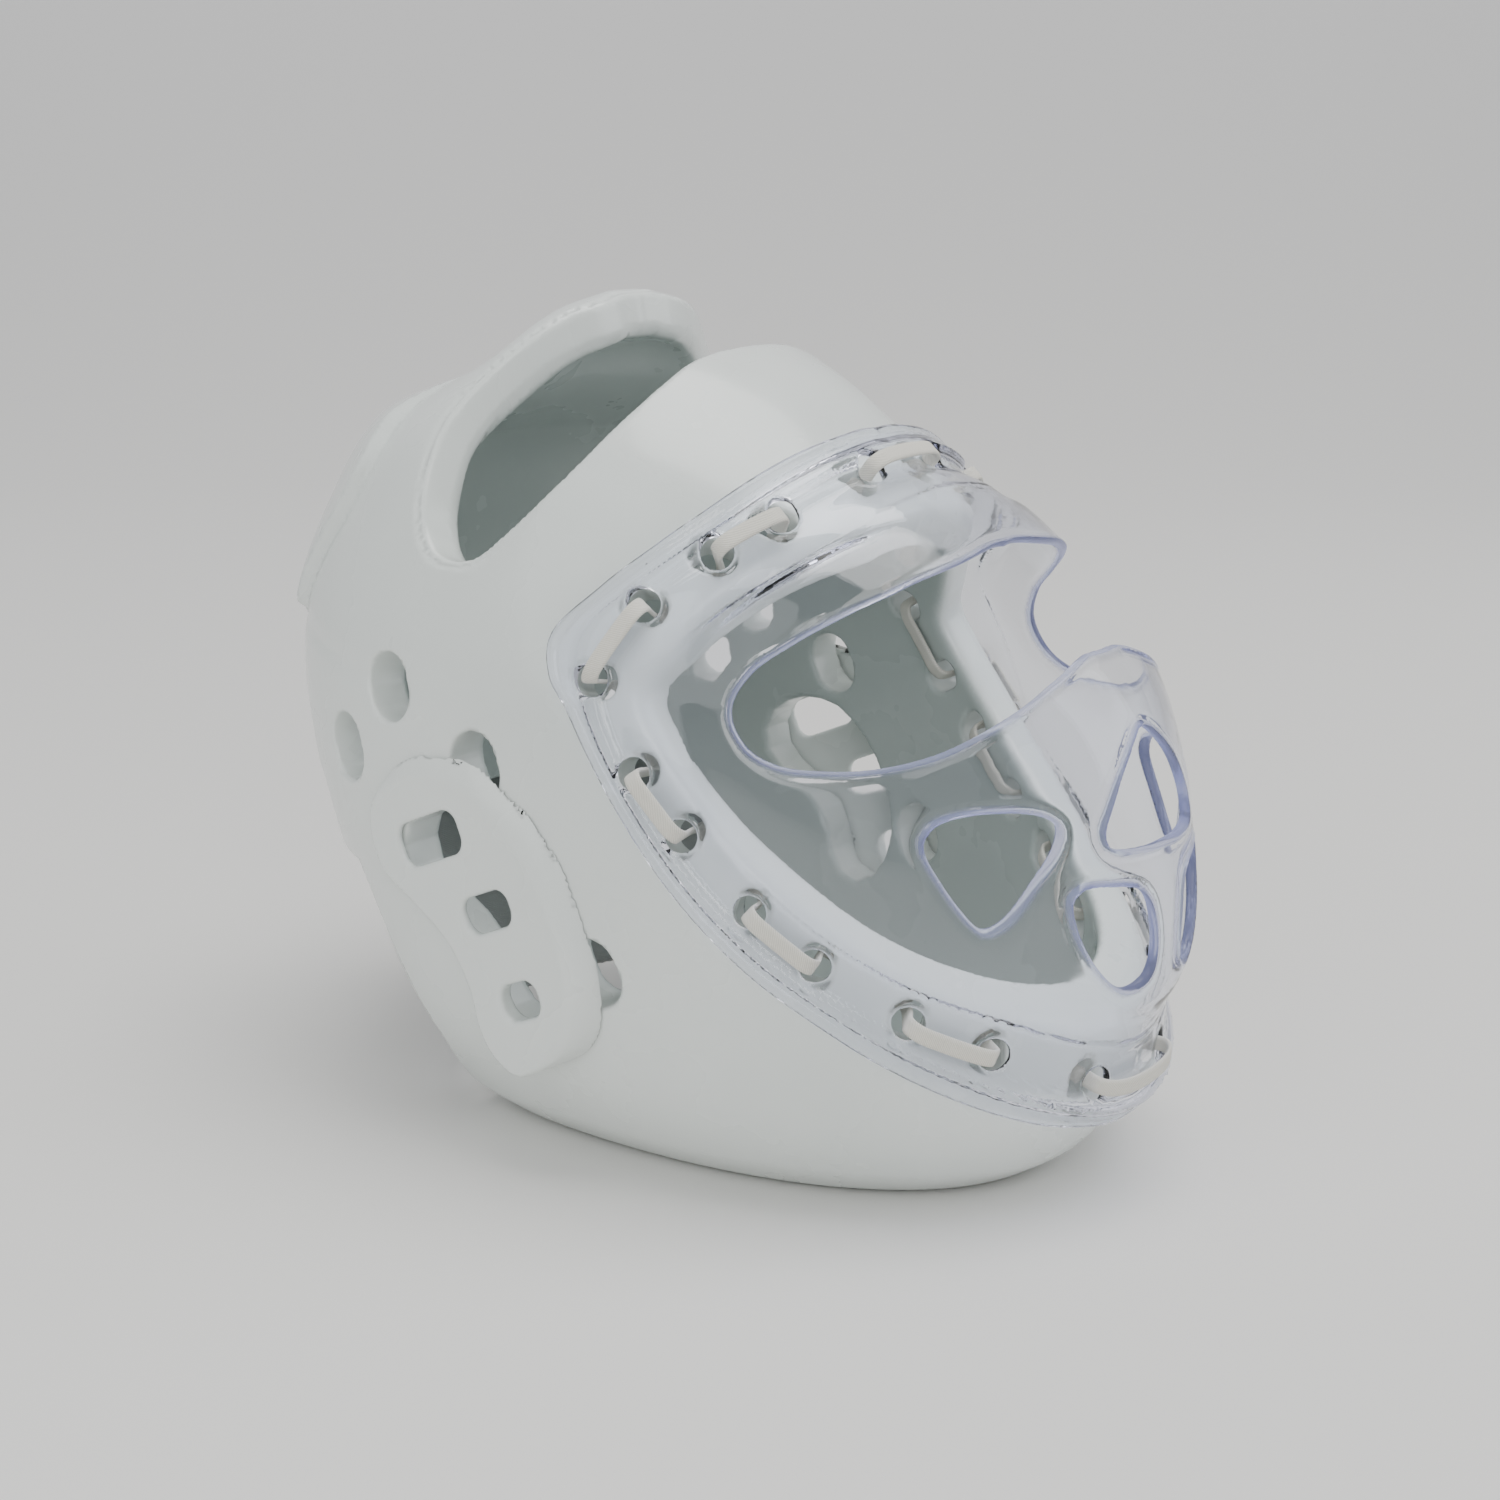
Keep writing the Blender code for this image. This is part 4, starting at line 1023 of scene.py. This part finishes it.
def sweepMaterial():
    # floor tone near the ground, paler up the backdrop
    material, nodes, links, shader = newMaterial("paleSweep")
    place = nodes.new("ShaderNodeTexCoord").outputs["Object"]
    split = nodes.new("ShaderNodeSeparateXYZ")
    links.new(place, split.inputs[0])
    rise = rampNode(nodes, links, split.outputs["Z"], 0.0, 1.4, 0, 1)
    flat = nodes.new("ShaderNodeVectorMath")
    flat.operation = "LENGTH"
    links.new(place, flat.inputs[0])
    # painted light: the floor and backdrop glow, more the further they are from the guard
    far = rampNode(nodes, links, flat.outputs["Value"], 0.1, 1.3, 0, studio["glow"])
    tone = mixNode(nodes, links, rise, studio["floor"], studio["backdrop"])
    soft = rampNode(nodes, links, noiseNode(nodes, links, place, 1.2, 2), 0.3, 0.7, 0, 0.04)
    links.new(mixNode(nodes, links, soft, tone, (0.6, 0.6, 0.6)), shader.inputs["Base Color"])
    links.new(tone, shader.inputs["Emission Color"])
    links.new(far, shader.inputs["Emission Strength"])
    shader.inputs["Roughness"].default_value = 0.6
    shader.inputs["Specular IOR Level"].default_value = 0.2
    grain = noiseNode(nodes, links, place, 400, 2)
    links.new(bumpNode(nodes, links, grain, 0.05, 0.0002), shader.inputs["Normal"])
    return material


def makeStudio():
    # floor that sweeps up into a backdrop behind the object
    depth, width, radius = 3.0, 4.0, 1.8
    profile = [(-1.8, 0)] + [(depth - radius + radius * math.sin(a), radius - radius * math.cos(a))
                             for a in np.linspace(0, math.pi / 2, 32)] + [(depth, 4.0)]
    away = Vector((-studio["camera"][0], -studio["camera"][1], 0)).normalized()
    side = Vector((-away.y, away.x, 0))
    verts, quads = [], []
    for s in (-width, width):
        for a, h in profile:
            verts.append(tuple(away * a + side * s + Vector((0, 0, h - 0.0002))))
    n = len(profile)
    for k in range(n - 1):
        quads.append((k, k + 1, n + k + 1, n + k))
    mesh = bpy.data.meshes.new("studioSweep")
    mesh.from_pydata(verts, [], quads)
    mesh.shade_smooth()
    mesh.materials.append(sweepMaterial())
    sweep = bpy.data.objects.new("studioSweep", mesh)
    bpy.context.scene.collection.objects.link(sweep)


def areaLight(name, place, target, size, power, colour):
    data = bpy.data.lights.new(name, "AREA")
    data.shape = "RECTANGLE"
    data.size, data.size_y = size
    data.energy = power
    data.color = colour
    light = bpy.data.objects.new(name, data)
    light.location = place
    light.rotation_euler = (Vector(target) - Vector(place)).to_track_quat("-Z", "Y").to_euler()
    bpy.context.scene.collection.objects.link(light)


makeStudio()
areaLight("overhead", (0.1, -0.15, 1.5), (0, 0, 0.1), (1.0, 1.0), 15, (1.0, 0.99, 0.97))
areaLight("fromLeft", (-1.3, 0.2, 0.9), (0, 0, 0.1), (1.0, 1.3), 5, (0.97, 1.0, 1.0))
areaLight("fromRight", (0.9, -1.3, 0.8), (0, 0, 0.1), (1.1, 1.1), 6, (0.95, 0.97, 1.0))
areaLight("nearCamera", (-0.8, -0.75, 0.75), (0, 0, 0.12), (0.5, 0.5), 3, (1.0, 0.99, 0.97))
world = bpy.data.worlds.new("studioAir")
bpy.context.scene.world = world
world.use_nodes = True
air = world.node_tree.nodes["Background"]
air.inputs["Color"].default_value = (*studio["world"], 1)
air.inputs["Strength"].default_value = studio["worldStrength"]

cameraData = bpy.data.cameras.new("photoCamera")
cameraData.lens = studio["lens"]
cameraData.sensor_width = 36
camera = bpy.data.objects.new("photoCamera", cameraData)
camera.location = studio["camera"]
camera.rotation_euler = (Vector(studio["target"]) - Vector(studio["camera"])).to_track_quat("-Z", "Y").to_euler()
bpy.context.scene.collection.objects.link(camera)
bpy.context.scene.camera = camera
report("studio done")
